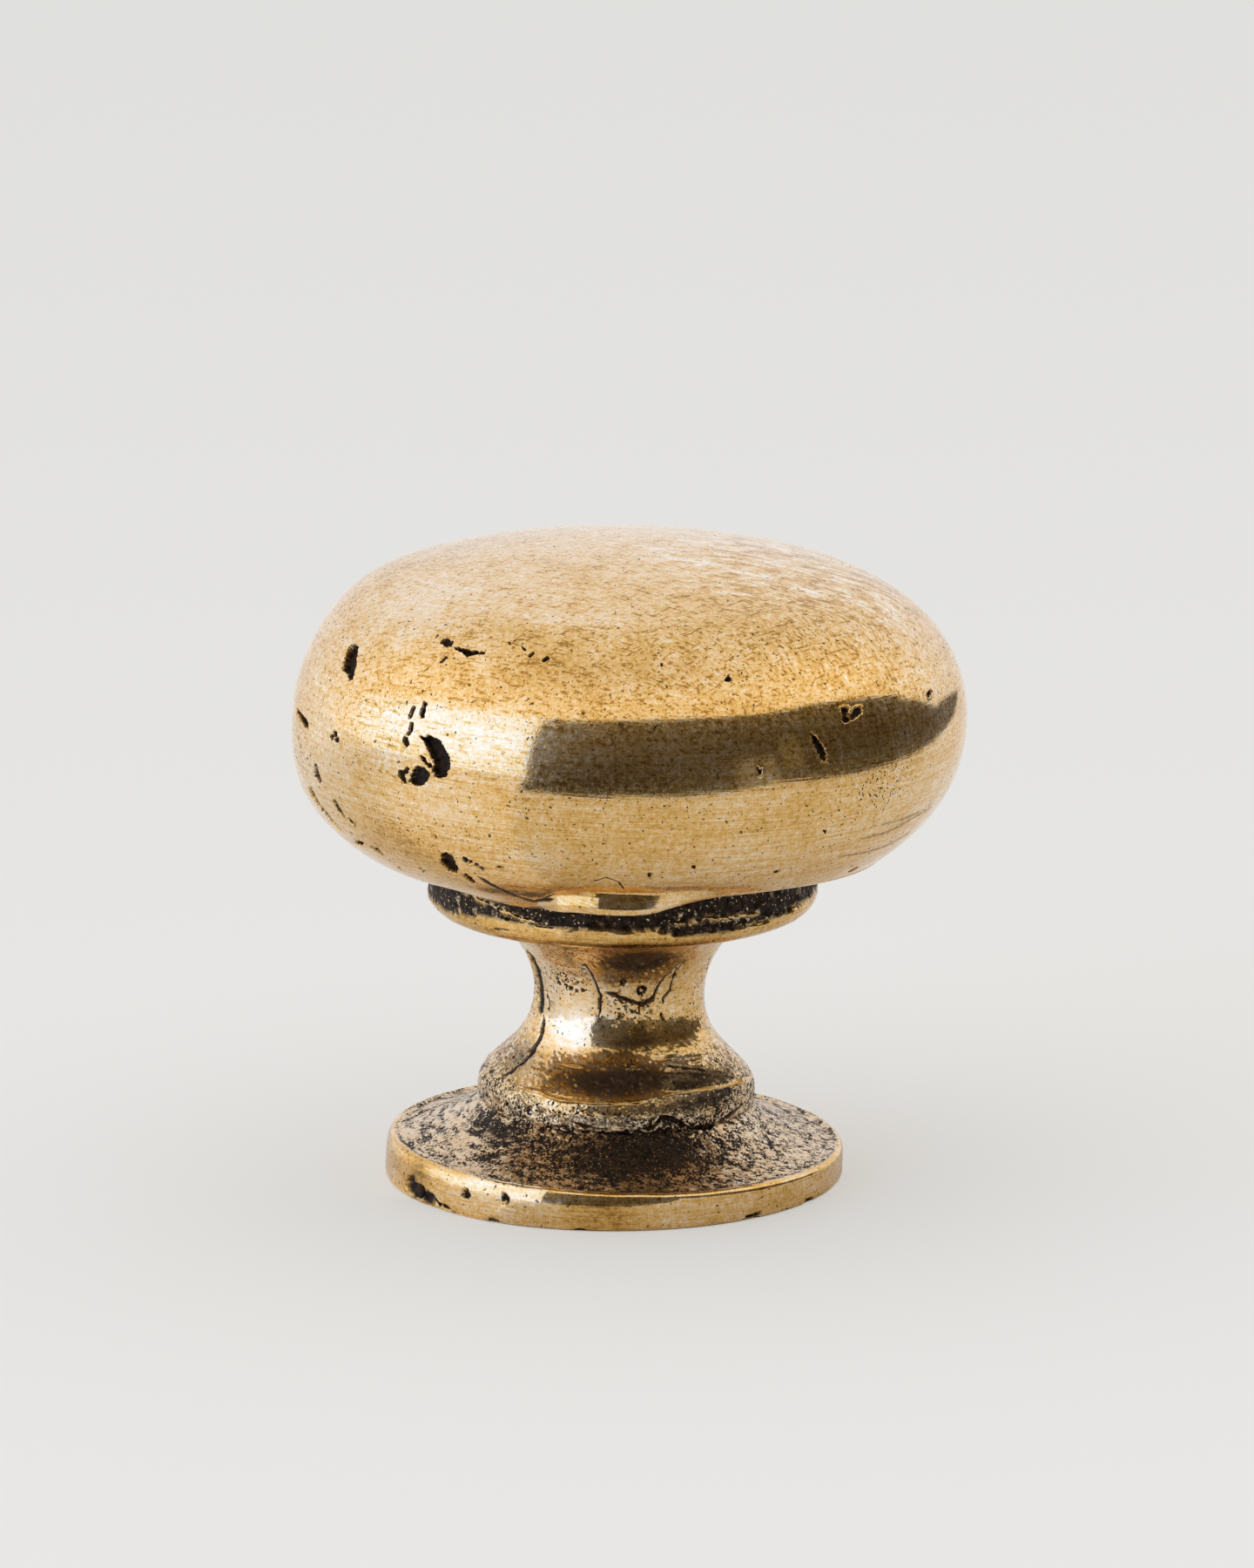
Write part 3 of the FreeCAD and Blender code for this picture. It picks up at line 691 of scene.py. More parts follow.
def relief(sec, t, phi, r, z):
    """Height of the real skin over the plain form, and what the surface is like there."""
    s, az = along(sec, t, phi), np.degrees(phi) % 360
    point = np.stack([r * np.cos(phi), r * np.sin(phi), z], -1)

    def on(*names):
        return np.isin(sec, [NAMES.index(n) for n in names])

    def lumps(scale, seed, m=slice(None)):
        return noise(point[m], scale, seed)

    head = on("crown", "edge", "edge2", "low", "facet")
    # hand polish leaves broad, shallow waves
    high = np.where(head, lumps(0.16, 3) * 0.030 + lumps(0.42, 4) * 0.010 + lumps(0.95, 21) * 0.0022, 0)
    grime, rubbed = np.zeros(len(r)), np.zeros(len(r))
    nr, nz = normal2(sec, t, phi)
    lat = np.arctan2(nz, nr)
    facing = np.stack([np.cos(lat) * np.cos(phi), np.cos(lat) * np.sin(phi), np.sin(lat)], -1)
    for a, l, h in WARPS:
        a, l = math.radians(a), math.radians(l)
        to = np.array([math.cos(l) * math.cos(a), math.cos(l) * math.sin(a), math.sin(l)])
        high += np.where(head, h * np.exp((facing @ to - 1) / WARP_WIDTH ** 2), 0)

    for az0, s0, r0, pts, ext in PIT_MARKS:
        m, x, y = near(sec, s, az, az0, s0, r0, ext + 0.3)
        rough = (lumps(5.0, 5, m) * 0.045 + lumps(12.0, 22, m) * 0.030) * (1.7 if ext > 0.45 else 1)
        d = polygon(x, y, pts) - grown(az0) + rough
        depth = min(0.5, 0.12 + ext * 0.3)
        high[m] -= depth * (1 - step(d, -0.10, 0.015)) - 0.010 * np.exp(-((d - 0.05) / 0.05) ** 2)
        grime[m] = np.maximum(grime[m], 1 - step(d, -0.05, 0.005))

    for az0, s0, r0, flat, ext, w, deep in CRACK_MARKS:
        m, x, y = near(sec, s, az, az0, s0, r0, ext + 0.5)
        d, side, far = polyline(x + lumps(2.5, 6, m) * 0.06, y + lumps(2.5, 7, m) * 0.06, flat)
        taper = step(far, -0.01, 0.12) * (1 - step(far, 0.88, 1.01))
        wide = w * (1 + 0.5 * lumps(1.8, 23, m))
        inside = 1 - step(d, wide * 0.55 * taper, wide * taper + 0.035)
        high[m] -= deep * inside * taper
        # a mere scratch holds less dirt than a crack
        held = inside * step(taper, 0.05, 0.4) * (1 if deep > SCRATCH_DEPTH else 0.5)
        grime[m] = np.maximum(grime[m], held)

    for az0, s0, r0, outer, inner in DOT_MARKS:
        m, x, y = near(sec, s, az, az0, s0, r0, outer + 0.3)
        away = np.hypot(x, y) + lumps(7.0, 33, m) * 0.04
        d = np.abs(away - (outer + inner) / 2) - (outer - inner) / 2
        high[m] -= min(0.22, 0.9 * outer) * (1 - step(d, -0.06, 0.02))
        grime[m] = np.maximum(grime[m], 1 - step(d, -0.03, 0.02))

    for az0, s0, r0, flat, ext, deep, reach in LEDGE_MARKS:
        m, x, y = near(sec, s, az, az0, s0, r0, ext + 0.4)
        d, side, far = polyline(x, y, flat)
        taper = step(far, 0, 0.25) * (1 - step(far, 0.75, 1))
        above = np.clip(1 - d / reach, 0, 1) ** 1.3 * step(d, 0, 0.07)
        high[m] += taper * np.where(side > 0, -deep * above, 0.07 * np.exp(-(d / 0.14) ** 2))

    for az0, s0, r0, flat, ext, w, up in RIDGE_MARKS:
        m, x, y = near(sec, s, az, az0, s0, r0, ext + 0.5)
        d, side, far = polyline(x + lumps(2.0, 24, m) * 0.05, y + lumps(2.0, 25, m) * 0.05, flat)
        taper = step(far, 0, 0.12) * (1 - step(far, 0.88, 1))
        high[m] += up * taper * np.exp(-(d / w) ** 2) * (0.75 + 0.5 * lumps(1.2, 26, m))
        rubbed[m] = np.maximum(rubbed[m], taper * np.exp(-(d / (w * 1.3)) ** 2))

    for a, h, length, width, deep, turn in CHIPS:
        x = FOOT_R * np.radians(turned_from(az, a))
        m = np.nonzero((sec >= RIM_FIRST) & (sec <= RIM_LAST) & (np.abs(x) < length))[0]
        c, q = math.cos(math.radians(turn)), math.sin(math.radians(turn))
        x, y = x[m], z[m] - h
        x, y = x * c + y * q, -x * q + y * c
        d = np.hypot(x / (length / 2), y / (width / 2)) + lumps(3.0, 8, m) * 0.35
        high[m] -= deep * (1 - step(d, 0.55, 1.02))
        grime[m] = np.maximum(grime[m], 1 - step(d, 0.75, 1.0))

    # the rough band between head and collar
    bare = rubbed * on("wall", "cround", "step")
    band_low = ring(BAND_LOW, phi)
    edge = lumps(1.3, 9) * 0.10 + lumps(4.0, 10) * 0.08
    band = on("heel", "step", "wall", "cround") * step(z + edge, band_low - 0.07, band_low + 0.07)
    band = band * np.where(on("heel"), step(t, 0.55, 0.9), 1)
    crust = lumps(3.2, 11) * 0.5 + lumps(6.5, 12) * 0.45
    high += band * (-0.14 + crust * 0.13)
    crumbs = 0.36 - 0.16 * step(z, band_low + 0.55, band_low + 0.1) * step(np.abs(az - 225), 30, 15)
    crumbs = crumbs - 0.22 * np.clip(high + 0.14, 0, 0.1) / 0.1 * step(z, 17.6, 17.3)
    grime = np.maximum(grime, band * (1 - step(crust, crumbs, crumbs + 0.12)))
    grime = grime * (1 - bare * step(lumps(2.6, 36), -0.35, 0.1))

    # as-cast metal of the foot, the shoulder and parts of the neck
    cast = np.where(on("cone", "crease", "swall"), 1.0, 0.0)
    cast = np.where(band > 0.5, 0.7, cast)
    for name, amount in (("sround", 0.75), ("flare", 0.55), ("land", 0.95),
                         ("rround", 0.08 + 0.6 * (1 - step(t, 0.0, 0.35))),
                         ("cove2", 0.1 + 0.4 * step(t, 0.3, 1)), ("cove", 0.12)):
        cast = np.where(on(name), amount, cast)
    front = np.exp(-(((az - 258) / 34) ** 2))
    cast = np.where(on("flare", "sround", "cove2"), cast * (1 - 0.75 * front), cast)
    cast = np.where(on("swall"), cast * (1 - 0.45 * front), cast) * (1 - rubbed)
    grain = lumps(1.7, 13) * 0.40 + lumps(3.6, 14) * 0.5 + lumps(6.5, 15) * 0.3
    grain = grain + 0.6 * (0.25 - np.abs(lumps(2.3, 16)) * 0.9)
    # on the foot the grain is crumbly, and runs round it at the left
    turned = np.stack([np.cos(phi) * 7, np.sin(phi) * 7, r * 3.0], -1)
    around = noise(turned, 1.0, 27) * 0.6 + noise(turned, 1.9, 28) * 0.5
    crumbly = lumps(2.6, 34) * 0.5 + lumps(4.6, 29) * 0.5 + lumps(1.2, 35) * 0.25
    left = 1 - step(np.abs(turned_from(az, 195)), 30, 52)
    foot = on("cone", "land", "rround")
    grain = np.where(foot, crumbly + (around * 1.1 - crumbly) * left, grain)
    high += cast * grain * np.where(foot, 0.06, 0.085)
    # pits of the neck and shoulder
    sponge = np.clip(spot(az, s, r, SPONGE), 0, 1)
    neck = on("cove", "cove2", "flare", "sround", "swall", "soffit")
    holes = np.clip(lumps(3.6, 17) * 0.75 + lumps(7.0, 18) * 0.4 - 0.34 + 0.10 * sponge, 0, 0.3) / 0.3
    holes = neck * sponge * holes
    high -= holes * 0.10
    grime = np.maximum(grime, np.clip(holes * 1.6, 0, 1))
    # the polished collar ring, rim and side wall are a little uneven
    even = on("cround", "rwall", "rround", "land", "barrel", "cove", "cove2")
    high += even * (lumps(0.5, 19) * 0.03 + lumps(1.4, 20) * 0.010)
    # thread in the bore, fading out at both ends
    turn = (z / THREAD_PITCH + phi / (2 * math.pi)) % 1
    tooth = np.clip(((1 - np.abs(2 * turn - 1)) - 0.2) / 0.65, 0, 1)
    high -= on("bore") * THREAD_DEPTH * tooth * step(z, 0.0, 0.5) * (1 - step(z, 9.4, 10.4))
    # tone at random, plus the listed places, which include painted highlights and painted light
    tone = lumps(0.16, 30) * 0.35 + lumps(0.55, 31) * 0.30 + lumps(1.5, 32) * 0.22
    tone = (tone + spot(az, s, r, TONES_AND_PAINTED_LIGHT)) * (1 - rubbed) - 0.15 * rubbed
    # soot, and painted shade under the collar, at the top of the neck and on the front of the shoulder and
    # the foot
    soot_and_painted_shade = np.clip(spot(az, s, r, SOOT_AND_PAINTED_SHADE), 0, 1) * (1 - rubbed)
    pitted = np.where(neck, sponge, np.clip(spot(az, s, r, PEPPER), 0, 1) * head)
    return high, grime, cast, cast * grain, tone, soot_and_painted_shade, pitted


def normal2(sec, t, phi):
    """Outward direction of the outline."""
    e = 0.004
    r0, z0 = outline(sec, np.clip(t - e, 0, 1), phi)
    r1, z1 = outline(sec, np.clip(t + e, 0, 1), phi)
    dr, dz = r1 - r0, z1 - z0
    size = np.hypot(dr, dz) + 1e-12
    return -dz / size, dr / size


def skin(u, v):
    """Points of the finished skin at lattice positions, and the surface's qualities there."""
    sec, t, phi = params(u, v)
    r, z = outline(sec, t, phi)
    high, *qualities = relief(sec, t, phi, r, z)
    nr, nz = normal2(sec, t, phi)
    return place(r + nr * high, np.maximum(z + nz * high, 0), phi), qualities


def knob_mesh():
    iu, iv, lv = lattice()
    size = UNIT >> lv
    u0, u1, v0, v1 = iu, iu + size, iv, iv + size
    um, vm = iu + size // 2, iv + size // 2

    def key(a, b):
        return a.astype(np.int64) * AROUND + b % AROUND

    corners = np.stack([key(u0, v0), key(u1, v0), key(u1, v1), key(u0, v1)], 1)
    keys = np.unique(corners)
    mids = np.stack([key(um, v0), key(u1, vm), key(um, v1), key(u0, vm)], 1)
    at = np.clip(np.searchsorted(keys, mids), 0, len(keys) - 1)
    has = (keys[at] == mids) & (size > 1)[:, None]
    ring8 = np.empty((len(iu), 8), np.int64)
    ring8[:, 0::2], ring8[:, 1::2] = corners, mids
    use = np.ones((len(iu), 8), bool)
    use[:, 1::2] = has
    loops = np.searchsorted(keys, ring8[use])
    counts = use.sum(1)
    u, v = keys // AROUND, keys % AROUND
    fu, fv = u.astype(float), v.astype(float)
    co, extra = skin(fu, fv)
    # normals of the finished skin, taken closer than the cells are
    sec, t, phi = params(fu, fv)
    row = np.clip(u // UNIT, 0, len(ROW_SEC) - 1)
    du = NORMAL_REACH / np.maximum(row_height(row, phi), 0.02) * UNIT
    radius = np.maximum(outline(sec, t, phi)[0], 0.3)
    dv = NORMAL_REACH / (2 * math.pi * radius) * AROUND
    last = len(ROW_SEC) * UNIT - 1e-3
    pu = skin(np.minimum(u + du, last), v)[0] - skin(np.maximum(u - du, 0), v)[0]
    pv = skin(fu, v + dv)[0] - skin(fu, v - dv)[0]
    normal = np.cross(pu, pv)
    normal /= np.linalg.norm(normal, axis=1, keepdims=True) + 1e-12
    mesh = bpy.data.meshes.new("knob_casting")
    # flat caps close the pole of the crown and the end of the drill point
    for cap in (np.nonzero(u == 0)[0], np.nonzero(u == len(ROW_SEC) * UNIT)[0][::-1]):
        loops = np.concatenate([loops, cap])
        counts = np.concatenate([counts, [len(cap)]])
    starts = np.concatenate([[0], np.cumsum(counts)[:-1]])
    mesh.vertices.add(len(co))
    mesh.vertices.foreach_set("co", (co * MM).astype(np.float32).ravel())
    mesh.loops.add(len(loops))
    mesh.loops.foreach_set("vertex_index", loops.astype(np.int32))
    mesh.polygons.add(len(counts))
    mesh.polygons.foreach_set("loop_start", starts.astype(np.int32))
    mesh.polygons.foreach_set("use_smooth", np.ones(len(counts), bool))
    mesh.update(calc_edges=True)
    for name, values in zip(QUALITIES, extra):
        mesh.attributes.new(name, "FLOAT", "POINT").data.foreach_set("value", values.astype(np.float32))
    mesh.normals_split_custom_set_from_vertices(normal.astype(np.float32))
    print("knob", len(co), "vertices", int((counts - 2).sum()), "triangles")
    return mesh


class Nodes:
    """Builds a node tree with sockets or plain numbers as inputs."""

    def __init__(self, tree):
        self.tree = tree
        tree.nodes.clear()

    def add(self, kind, inputs=(), **settings):
        node = self.tree.nodes.new(kind)
        for name, value in settings.items():
            setattr(node, name, value)
        items = inputs.items() if isinstance(inputs, dict) else enumerate(inputs)
        for name, value in items:
            if isinstance(value, bpy.types.NodeSocket):
                self.tree.links.new(value, node.inputs[name])
            else:
                node.inputs[name].default_value = value
        return node

    def math(self, operation, *values, clamp=False):
        return self.add("ShaderNodeMath", values, operation=operation, use_clamp=clamp).outputs[0]

    def ramp(self, value, a, b, low=0.0, high=1.0):
        """Smooth change from low at a to high at b."""
        node = self.add("ShaderNodeMapRange", [value, a, b, low, high], interpolation_type="SMOOTHSTEP")
        return node.outputs[0]

    def mix(self, factor, a, b):
        node = self.add("ShaderNodeMix", data_type="RGBA", blend_type="MIX")
        for socket, value in ((node.inputs[0], factor), (node.inputs[6], a), (node.inputs[7], b)):
            if isinstance(value, bpy.types.NodeSocket):
                self.tree.links.new(value, socket)
            else:
                socket.default_value = value if isinstance(value, (int, float)) else tuple(value) + (1.0,)
        return node.outputs[2]

    def noise(self, vector, scale, detail, rough):
        inputs = {"Vector": vector, "Scale": scale, "Detail": detail, "Roughness": rough}
        return self.add("ShaderNodeTexNoise", inputs).outputs[0]

    def stretched(self, vector, turn, squeeze):
        """Noise drawn out along one direction, as fine scratches are."""
        turned = self.add("ShaderNodeVectorRotate", {"Vector": vector, "Angle": turn}, rotation_type="Z_AXIS")
        drawn = self.add("ShaderNodeMapping", {"Vector": turned.outputs[0], "Scale": squeeze})
        return self.noise(drawn.outputs[0], 1.0, 1.0, 0.5)

    def near(self, vector, point, half, soft):
        """1 within half of a point, falling to 0 over soft beyond it."""
        away = self.add("ShaderNodeVectorMath", [vector, point], operation="DISTANCE").outputs["Value"]
        return self.ramp(away, half + soft, half - soft)

    def combine(self, x, y, z):
        return self.add("ShaderNodeCombineXYZ", [x, y, z]).outputs[0]

    def centred(self, value, amount):
        """A noise value turned to swing about zero."""
        return self.math("MULTIPLY_ADD", value, amount, -0.5 * amount)

    def chain(self, operation, values):
        out = values[0]
        for value in values[1:]:
            out = self.math(operation, out, value)
        return out

    def total(self, *values):
        return self.chain("ADD", values)

    def times(self, *values):
        return self.chain("MULTIPLY", values)

    def minus(self, a, b):
        return self.math("SUBTRACT", a, b)

    def azimuth(self, x, y):
        """Degrees from straight behind the knob towards its right."""
        return self.math("DEGREES", self.math("ARCTAN2", x, self.times(y, -1.0)))


def brass():
    material = bpy.data.materials.new("cast_brass_worn")
    material.use_nodes = True
    n = Nodes(material.node_tree)
    mm = n.add("ShaderNodeMapping", {"Vector": n.add("ShaderNodeTexCoord").outputs["Object"],
                                     "Scale": (1000, 1000, 1000)}).outputs[0]
    x, y, z = n.add("ShaderNodeSeparateXYZ", [mm]).outputs
    r = n.math("MAXIMUM", n.math("SQRT", n.total(n.times(x, x), n.times(y, y))), 0.05)
    ux, uy = n.math("DIVIDE", x, r), n.math("DIVIDE", y, r)
    attr = {k: n.add("ShaderNodeAttribute", attribute_name=k).outputs["Fac"] for k in QUALITIES}
    # marks that run round the turned form, and streaks that run outward on the foot
    height_round = n.times(n.math("MULTIPLY_ADD", r, 0.8, z), 6.0)
    arcs = n.noise(n.combine(n.times(ux, 6.0), n.times(uy, 6.0), height_round), 1.0, 2.0, 0.65)
    brushed = n.noise(n.combine(n.times(ux, 5.0), n.times(uy, 5.0),
                                n.times(height_round, 2.4)), 1.0, 1.0, 0.6)
    outward = n.combine(n.times(ux, 55.0), n.times(uy, 55.0), n.times(r, 2.0))
    streak = n.noise(outward, 1.0, 1.0, 0.6)
    speck = n.noise(mm, 3.2, 2.0, 0.65)
    fine = n.noise(mm, 8.5, 1.0, 0.6)
    scratch = n.stretched(mm, 0.9, (0.45, 8.0, 6.0))
    # short strokes of the polishing, two ways across the dome, and ripples at its upper right
    strokes = n.total(n.ramp(n.stretched(mm, 0.5, (1.0, 6.0, 6.0)), 0.56, 0.68),
                     n.ramp(n.stretched(mm, -0.8, (1.0, 6.0, 6.0)), 0.58, 0.70))
    ripple = n.noise(n.combine(n.times(x, 0.5), n.times(y, 1.9), z), 1.0, 1.0, 0.6)
    upper_right = n.near(mm, (9.0, -1.5, 34.0), 7.5, 3.0)
    right_side = n.near(mm, (12.5, -9.5, 31.0), 6.5, 3.0)
    head = n.ramp(z, 23.0, 31.0, 0.05, 1.0)
    dots = n.noise(mm, 4.6, 0.0, 0.5)
    glint = n.noise(mm, 7.5, 0.0, 0.5)
    lines = n.ramp(scratch, 0.60, 0.70)
    cast = attr["cast"]
    # colour of the metal, from deep and golden to pale
    mottle = n.total(n.centred(speck, 0.90), n.centred(fine, 0.55), n.centred(arcs, 0.60),
                     n.times(n.centred(brushed, 0.75), n.ramp(z, 31.5, 27.5, 0.12, 1.0)),
                     n.times(lines, -0.16), n.times(strokes, head, -0.42),
                     n.times(n.centred(ripple, 2.0), upper_right),
                     n.times(n.centred(streak, 0.8), right_side))
    # the paler the metal, the smoother its colour
    calm = n.ramp(attr["tone"], 0.2, 1.1, 1.0, 0.55)
    # the tone mark carries painted highlights and painted light as well as the metal's own tone
    tone = n.total(n.times(attr["tone"], 0.32), n.times(mottle, calm))
    scale = n.add("ShaderNodeValToRGB", [n.total(tone, 0.5)])
    ramp = scale.color_ramp
    stops = [(0.0, (0.40, 0.20, 0.05)), (0.20, (0.64, 0.36, 0.09)), (0.40, (0.77, 0.465, 0.155)),
             (0.55, (0.84, 0.555, 0.25)), (0.70, (0.88, 0.65, 0.39)), (0.86, (0.915, 0.745, 0.54)),
             (1.0, (0.96, 0.87, 0.745))]
    while len(ramp.elements) < len(stops):
        ramp.elements.new(0.5)
    for element, (at, colour) in zip(ramp.elements, stops):
        element.position = at
        element.color = colour + (1.0,)
    base = n.mix(n.times(n.ramp(cast, 0.2, 0.9), 0.55), scale.outputs[0], (0.74, 0.585, 0.42))
    # tarnish in the hollows of the cast skin, bright on its high points
    crumb = n.total(n.times(attr["hollow"], 0.8), n.centred(speck, 1.1), n.centred(fine, 1.5),
                    n.times(attr["soot_and_painted_shade"], -0.75))
    recess = n.times(n.ramp(crumb, 0.02, -0.16), n.ramp(cast, 0.15, 0.8))
    # the soot mark darkens the metal: real soot, and painted shade under the collar, at the top of the neck
    # and on the front of the shoulder and the foot
    film_and_painted_shade = n.times(n.ramp(n.total(attr["soot_and_painted_shade"], n.centred(speck, 0.9)), 0.25, 0.65), 0.90)
    dark_speck = n.times(n.ramp(dots, 0.775, 0.80), 0.85)
    pores = n.ramp(n.math("MULTIPLY_ADD", attr["pitted"], 0.21, glint), 0.80, 0.83)
    dark_speck = n.math("MAXIMUM", dark_speck, pores)
    # the metal darkens with the dirt in its pits, cracks and crust, and with the painted shade of the soot
    # mark
    grime = n.math("MAXIMUM", n.math("MAXIMUM", attr["grime"], film_and_painted_shade),
                   n.math("MAXIMUM", recess, dark_speck), clamp=True)
    # bare grains shine through the crust
    bare = n.times(n.ramp(glint, 0.29, 0.24), n.ramp(cast, 0.3, 0.6, 0.0, 0.8))
    grime = n.times(grime, n.minus(1.0, bare))
    # one dark colour for the dirt and for the painted shade
    dirt_and_shade_colour = n.mix(n.ramp(speck, 0.35, 0.65), (0.011, 0.007, 0.005), (0.050, 0.027, 0.013))
    height = n.total(n.times(speck, 0.30), n.times(arcs, 0.45), n.times(lines, -0.25),
                     n.times(brushed, 0.28), n.times(ripple, upper_right, 0.6),
                     n.times(n.total(fine, speck), n.times(cast, 1.6)),
                     n.times(fine, 0.12))
    bump = n.add("ShaderNodeBump", {"Strength": 0.30, "Distance": 0.00002, "Height": height}).outputs[0]
    polish = n.math("MULTIPLY_ADD", cast, 0.12, n.math("MULTIPLY_ADD", arcs, 0.07, 0.045))
    bright = n.add("ShaderNodeBsdfPrincipled", {"Base Color": base, "Roughness": polish, "Normal": bump})
    bright.inputs["Metallic"].default_value = 1.0
    hazy = n.add("ShaderNodeBsdfPrincipled", {"Base Color": base, "Normal": bump})
    hazy.inputs["Metallic"].default_value = 1.0
    hazy.inputs["Roughness"].default_value = 0.36
    haze = n.total(n.ramp(speck, 0.35, 0.7, 0.14, 0.34), n.times(lines, 0.3), n.times(cast, 0.35))
    metal = n.add("ShaderNodeMixShader", [haze, bright.outputs[0], hazy.outputs[0]])
    dirt_and_shade_bsdf = n.add("ShaderNodeBsdfPrincipled", {"Base Color": dirt_and_shade_colour, "Normal": bump})
    dirt_and_shade_bsdf.inputs["Roughness"].default_value = 0.6
    dirt_and_shade_bsdf.inputs["Specular IOR Level"].default_value = 0.15
    both = n.add("ShaderNodeMixShader", [grime, metal.outputs[0], dirt_and_shade_bsdf.outputs[0]])
    n.add("ShaderNodeOutputMaterial", [both.outputs[0]])
    return material


# Where the dark side begins at the left, and the sides of the pale patch in it, in degrees from behind
DARK_LEFT, PATCH_LEFT, PATCH_RIGHT = (-34.5, -32.5), (34.0, 40.0), (52.0, 50.5)


def room():
    """Soft daylight from the left, a bright ceiling and back, and a dark room on the camera's side."""
    world = bpy.data.worlds.new("studio")
    world.use_nodes = True
    bpy.context.scene.world = world
    world.cycles.sampling_method = "NONE"
    n = Nodes(world.node_tree)
    x, y, z = n.add("ShaderNodeSeparateXYZ", [n.add("ShaderNodeTexCoord").outputs["Generated"]]).outputs
    az = n.azimuth(x, y)
    el = n.math("DEGREES", n.math("ARCSINE", z))
    # upper edge of the dark side, by azimuth
    curve = n.add("ShaderNodeFloatCurve", {"Value": n.math("DIVIDE", n.total(az, 180.0), 360.0)})
    line = curve.mapping.curves[0]
    edge = [(-180, 0), (-104, 22), (-80, 34), (-60, 40), (-33, 40), (0, 43), (23, 42), (39, 40), (55, 37),
            (78, 34), (101, 24), (111, 17), (121, 7), (131, -1), (141, -4), (152, -8), (180, -20)]
    spots = [((a + 180) / 360, (e + 90) / 180) for a, e in edge]
    line.points[0].location, line.points[1].location = spots[0], spots[-1]
    for spot in spots[1:-1]:
        line.points.new(*spot)
    for p in line.points:
        p.handle_type = "VECTOR"
    curve.mapping.update()
    top = n.minus(n.times(curve.outputs[0], 180.0), 90.0)
    over = n.minus(el, top)
    under_edge = n.ramp(over, 1.5, -1.5)
    dark = n.times(under_edge, n.ramp(az, *DARK_LEFT))
    glass = n.times(under_edge, n.ramp(az, -33.0, -35.0), n.ramp(az, -118.0, -96.0))
    ceiling = n.mix(n.ramp(el, 35.0, 85.0), (1.17, 1.14, 1.05), (0.88, 0.89, 0.94))
    sky = n.mix(n.ramp(n.math("ABSOLUTE", az), 95.0, 150.0), ceiling, (0.92, 0.95, 1.03))
    sky = n.mix(glass, sky, (1.16, 1.37, 1.76))
    room_tone = n.mix(n.ramp(az, -30.0, 60.0), (0.125, 0.118, 0.125), (0.078, 0.070, 0.062))
    # darker toward the ground, at the left most
    room_tone = n.mix(n.times(n.ramp(el, 24.0, 4.0), n.ramp(az, 40.0, -10.0, 0.15, 0.60)), room_tone,
                      (0.022, 0.018, 0.015))
    stripe = n.times(n.ramp(az, 53.0, 54.5), n.ramp(az, 63.0, 60.0), n.ramp(el, 24.0, 14.0))
    room_tone = n.mix(n.times(stripe, 0.75), room_tone, (0.21, 0.20, 0.165))
    low_patch = n.times(n.ramp(az, *PATCH_LEFT), n.ramp(az, *PATCH_RIGHT), n.ramp(el, 14.0, 5.0))
    room_tone = n.mix(n.times(low_patch, 0.85), room_tone, (0.27, 0.26, 0.25))
    sky = n.mix(dark, sky, room_tone)
    camera_ray = n.add("ShaderNodeLightPath").outputs["Is Camera Ray"]
    sky = n.mix(camera_ray, sky, (0.77, 0.77, 0.755))
    n.add("ShaderNodeOutputWorld", [n.add("ShaderNodeBackground", [sky, 1.0]).outputs[0]])


# Half the floor's width, in metres
FLOOR_HALF = 6.0


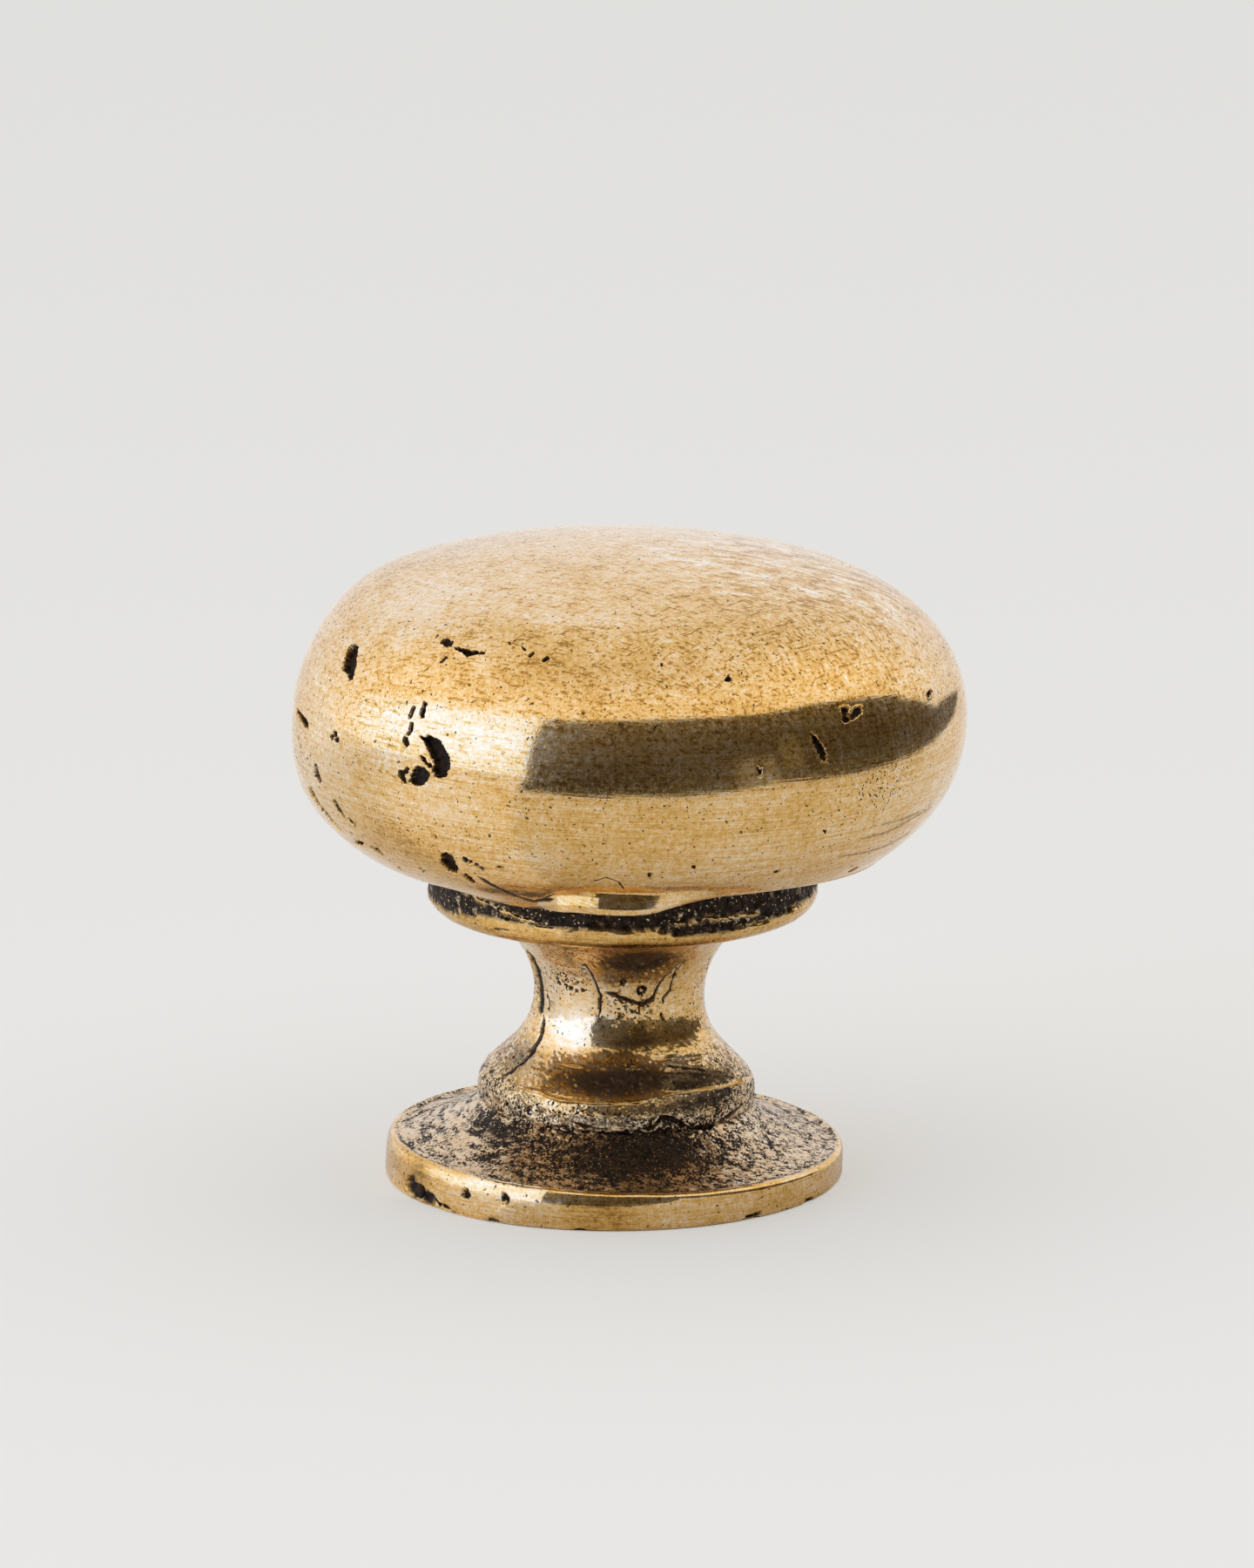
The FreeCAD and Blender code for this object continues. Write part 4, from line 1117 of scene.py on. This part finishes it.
def floor():
    mesh = bpy.data.meshes.new("floor")
    w = FLOOR_HALF
    mesh.from_pydata([(-w, -w, 0), (w, -w, 0), (w, w, 0), (-w, w, 0)], [], [(0, 1, 2, 3)])
    plane = bpy.data.objects.new("floor", mesh)
    bpy.context.collection.objects.link(plane)
    material = bpy.data.materials.new("floor_pale")
    material.use_nodes = True
    material.cycles.emission_sampling = "NONE"
    n = Nodes(material.node_tree)
    x, y, z = n.add("ShaderNodeSeparateXYZ", [n.add("ShaderNodeTexCoord").outputs["Object"]]).outputs
    # painted dark reflection: for every ray but the camera's, the ground is dark in front and at the right as
    # far as a slanting line, standing in for the dark room, with a paler painted patch in it
    az = n.azimuth(x, y)
    near = n.times(n.ramp(y, -0.125, -0.135), n.ramp(az, *DARK_LEFT))
    side = n.times(n.ramp(x, 0.14, 0.15), n.ramp(n.minus(y, x), 0.125, 0.10))
    beyond = n.math("MAXIMUM", near, side)
    path = n.add("ShaderNodeLightPath").outputs
    seen = path["Is Camera Ray"]
    gloom = n.mix(n.ramp(az, -20.0, 30.0), (0.025, 0.021, 0.018), (0.085, 0.080, 0.072))
    patch = n.times(n.ramp(az, *PATCH_LEFT), n.ramp(az, *PATCH_RIGHT))
    gloom = n.mix(patch, gloom, (0.26, 0.25, 0.24))
    colour = n.mix(n.times(beyond, n.minus(1.0, seen)), (0.86, 0.86, 0.85), gloom)
    # seen directly the floor is pale and keeps a light shadow
    ground = n.mix(seen, colour, (0.47, 0.458, 0.44))
    diffuse = n.add("ShaderNodeBsdfDiffuse", [ground])
    # painted light: seen directly, the floor glows a little brighter towards the front
    distance = n.ramp(y, 0.45, -0.35, 0.0, 1.0)
    glow = n.mix(distance, (0.335, 0.334, 0.318), (0.423, 0.420, 0.408))
    # painted reflection: for reflection rays only, the ground glows behind the knob, and a painted pool of
    # window light glows at the left
    behind = n.times(path["Is Glossy Ray"], n.ramp(y, 0.02, 0.12), n.minus(1.0, beyond))
    lit = n.times(path["Is Glossy Ray"], n.ramp(az, -95.0, -72.0), n.ramp(az, -33.0, -36.0))
    mirrored = n.mix(lit, n.mix(behind, (0.0, 0.0, 0.0), (0.16, 0.16, 0.158)), (0.17, 0.165, 0.16))
    glow = n.mix(seen, mirrored, glow)
    own = n.add("ShaderNodeEmission", [glow, 1.0])
    shader = n.add("ShaderNodeAddShader", [diffuse.outputs[0], own.outputs[0]])
    n.add("ShaderNodeOutputMaterial", [shader.outputs[0]])
    mesh.materials.append(material)


# The photo's camera: sensor and focal length in mm, its place in metres, and how many degrees it looks down
SENSOR, LENS, CAMERA_AT, LOOK_DOWN = 36.0, 284.47, (0.000756, -0.68037, 0.18724), 13.6


def camera():
    data = bpy.data.cameras.new("camera")
    data.sensor_width, data.lens = SENSOR, LENS
    data.clip_end = 30.0
    shot = bpy.data.objects.new("camera", data)
    shot.location = CAMERA_AT
    shot.rotation_euler = (math.radians(90 - LOOK_DOWN), 0, 0)
    bpy.context.collection.objects.link(shot)
    bpy.context.scene.camera = shot


scene = bpy.context.scene
scene.view_settings.view_transform = "Standard"
casting = bpy.data.objects.new("knob_casting", knob_mesh())
bpy.context.collection.objects.link(casting)
casting.data.materials.append(brass())
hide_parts("knob")
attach(casting, "root")
room()
floor()
camera()
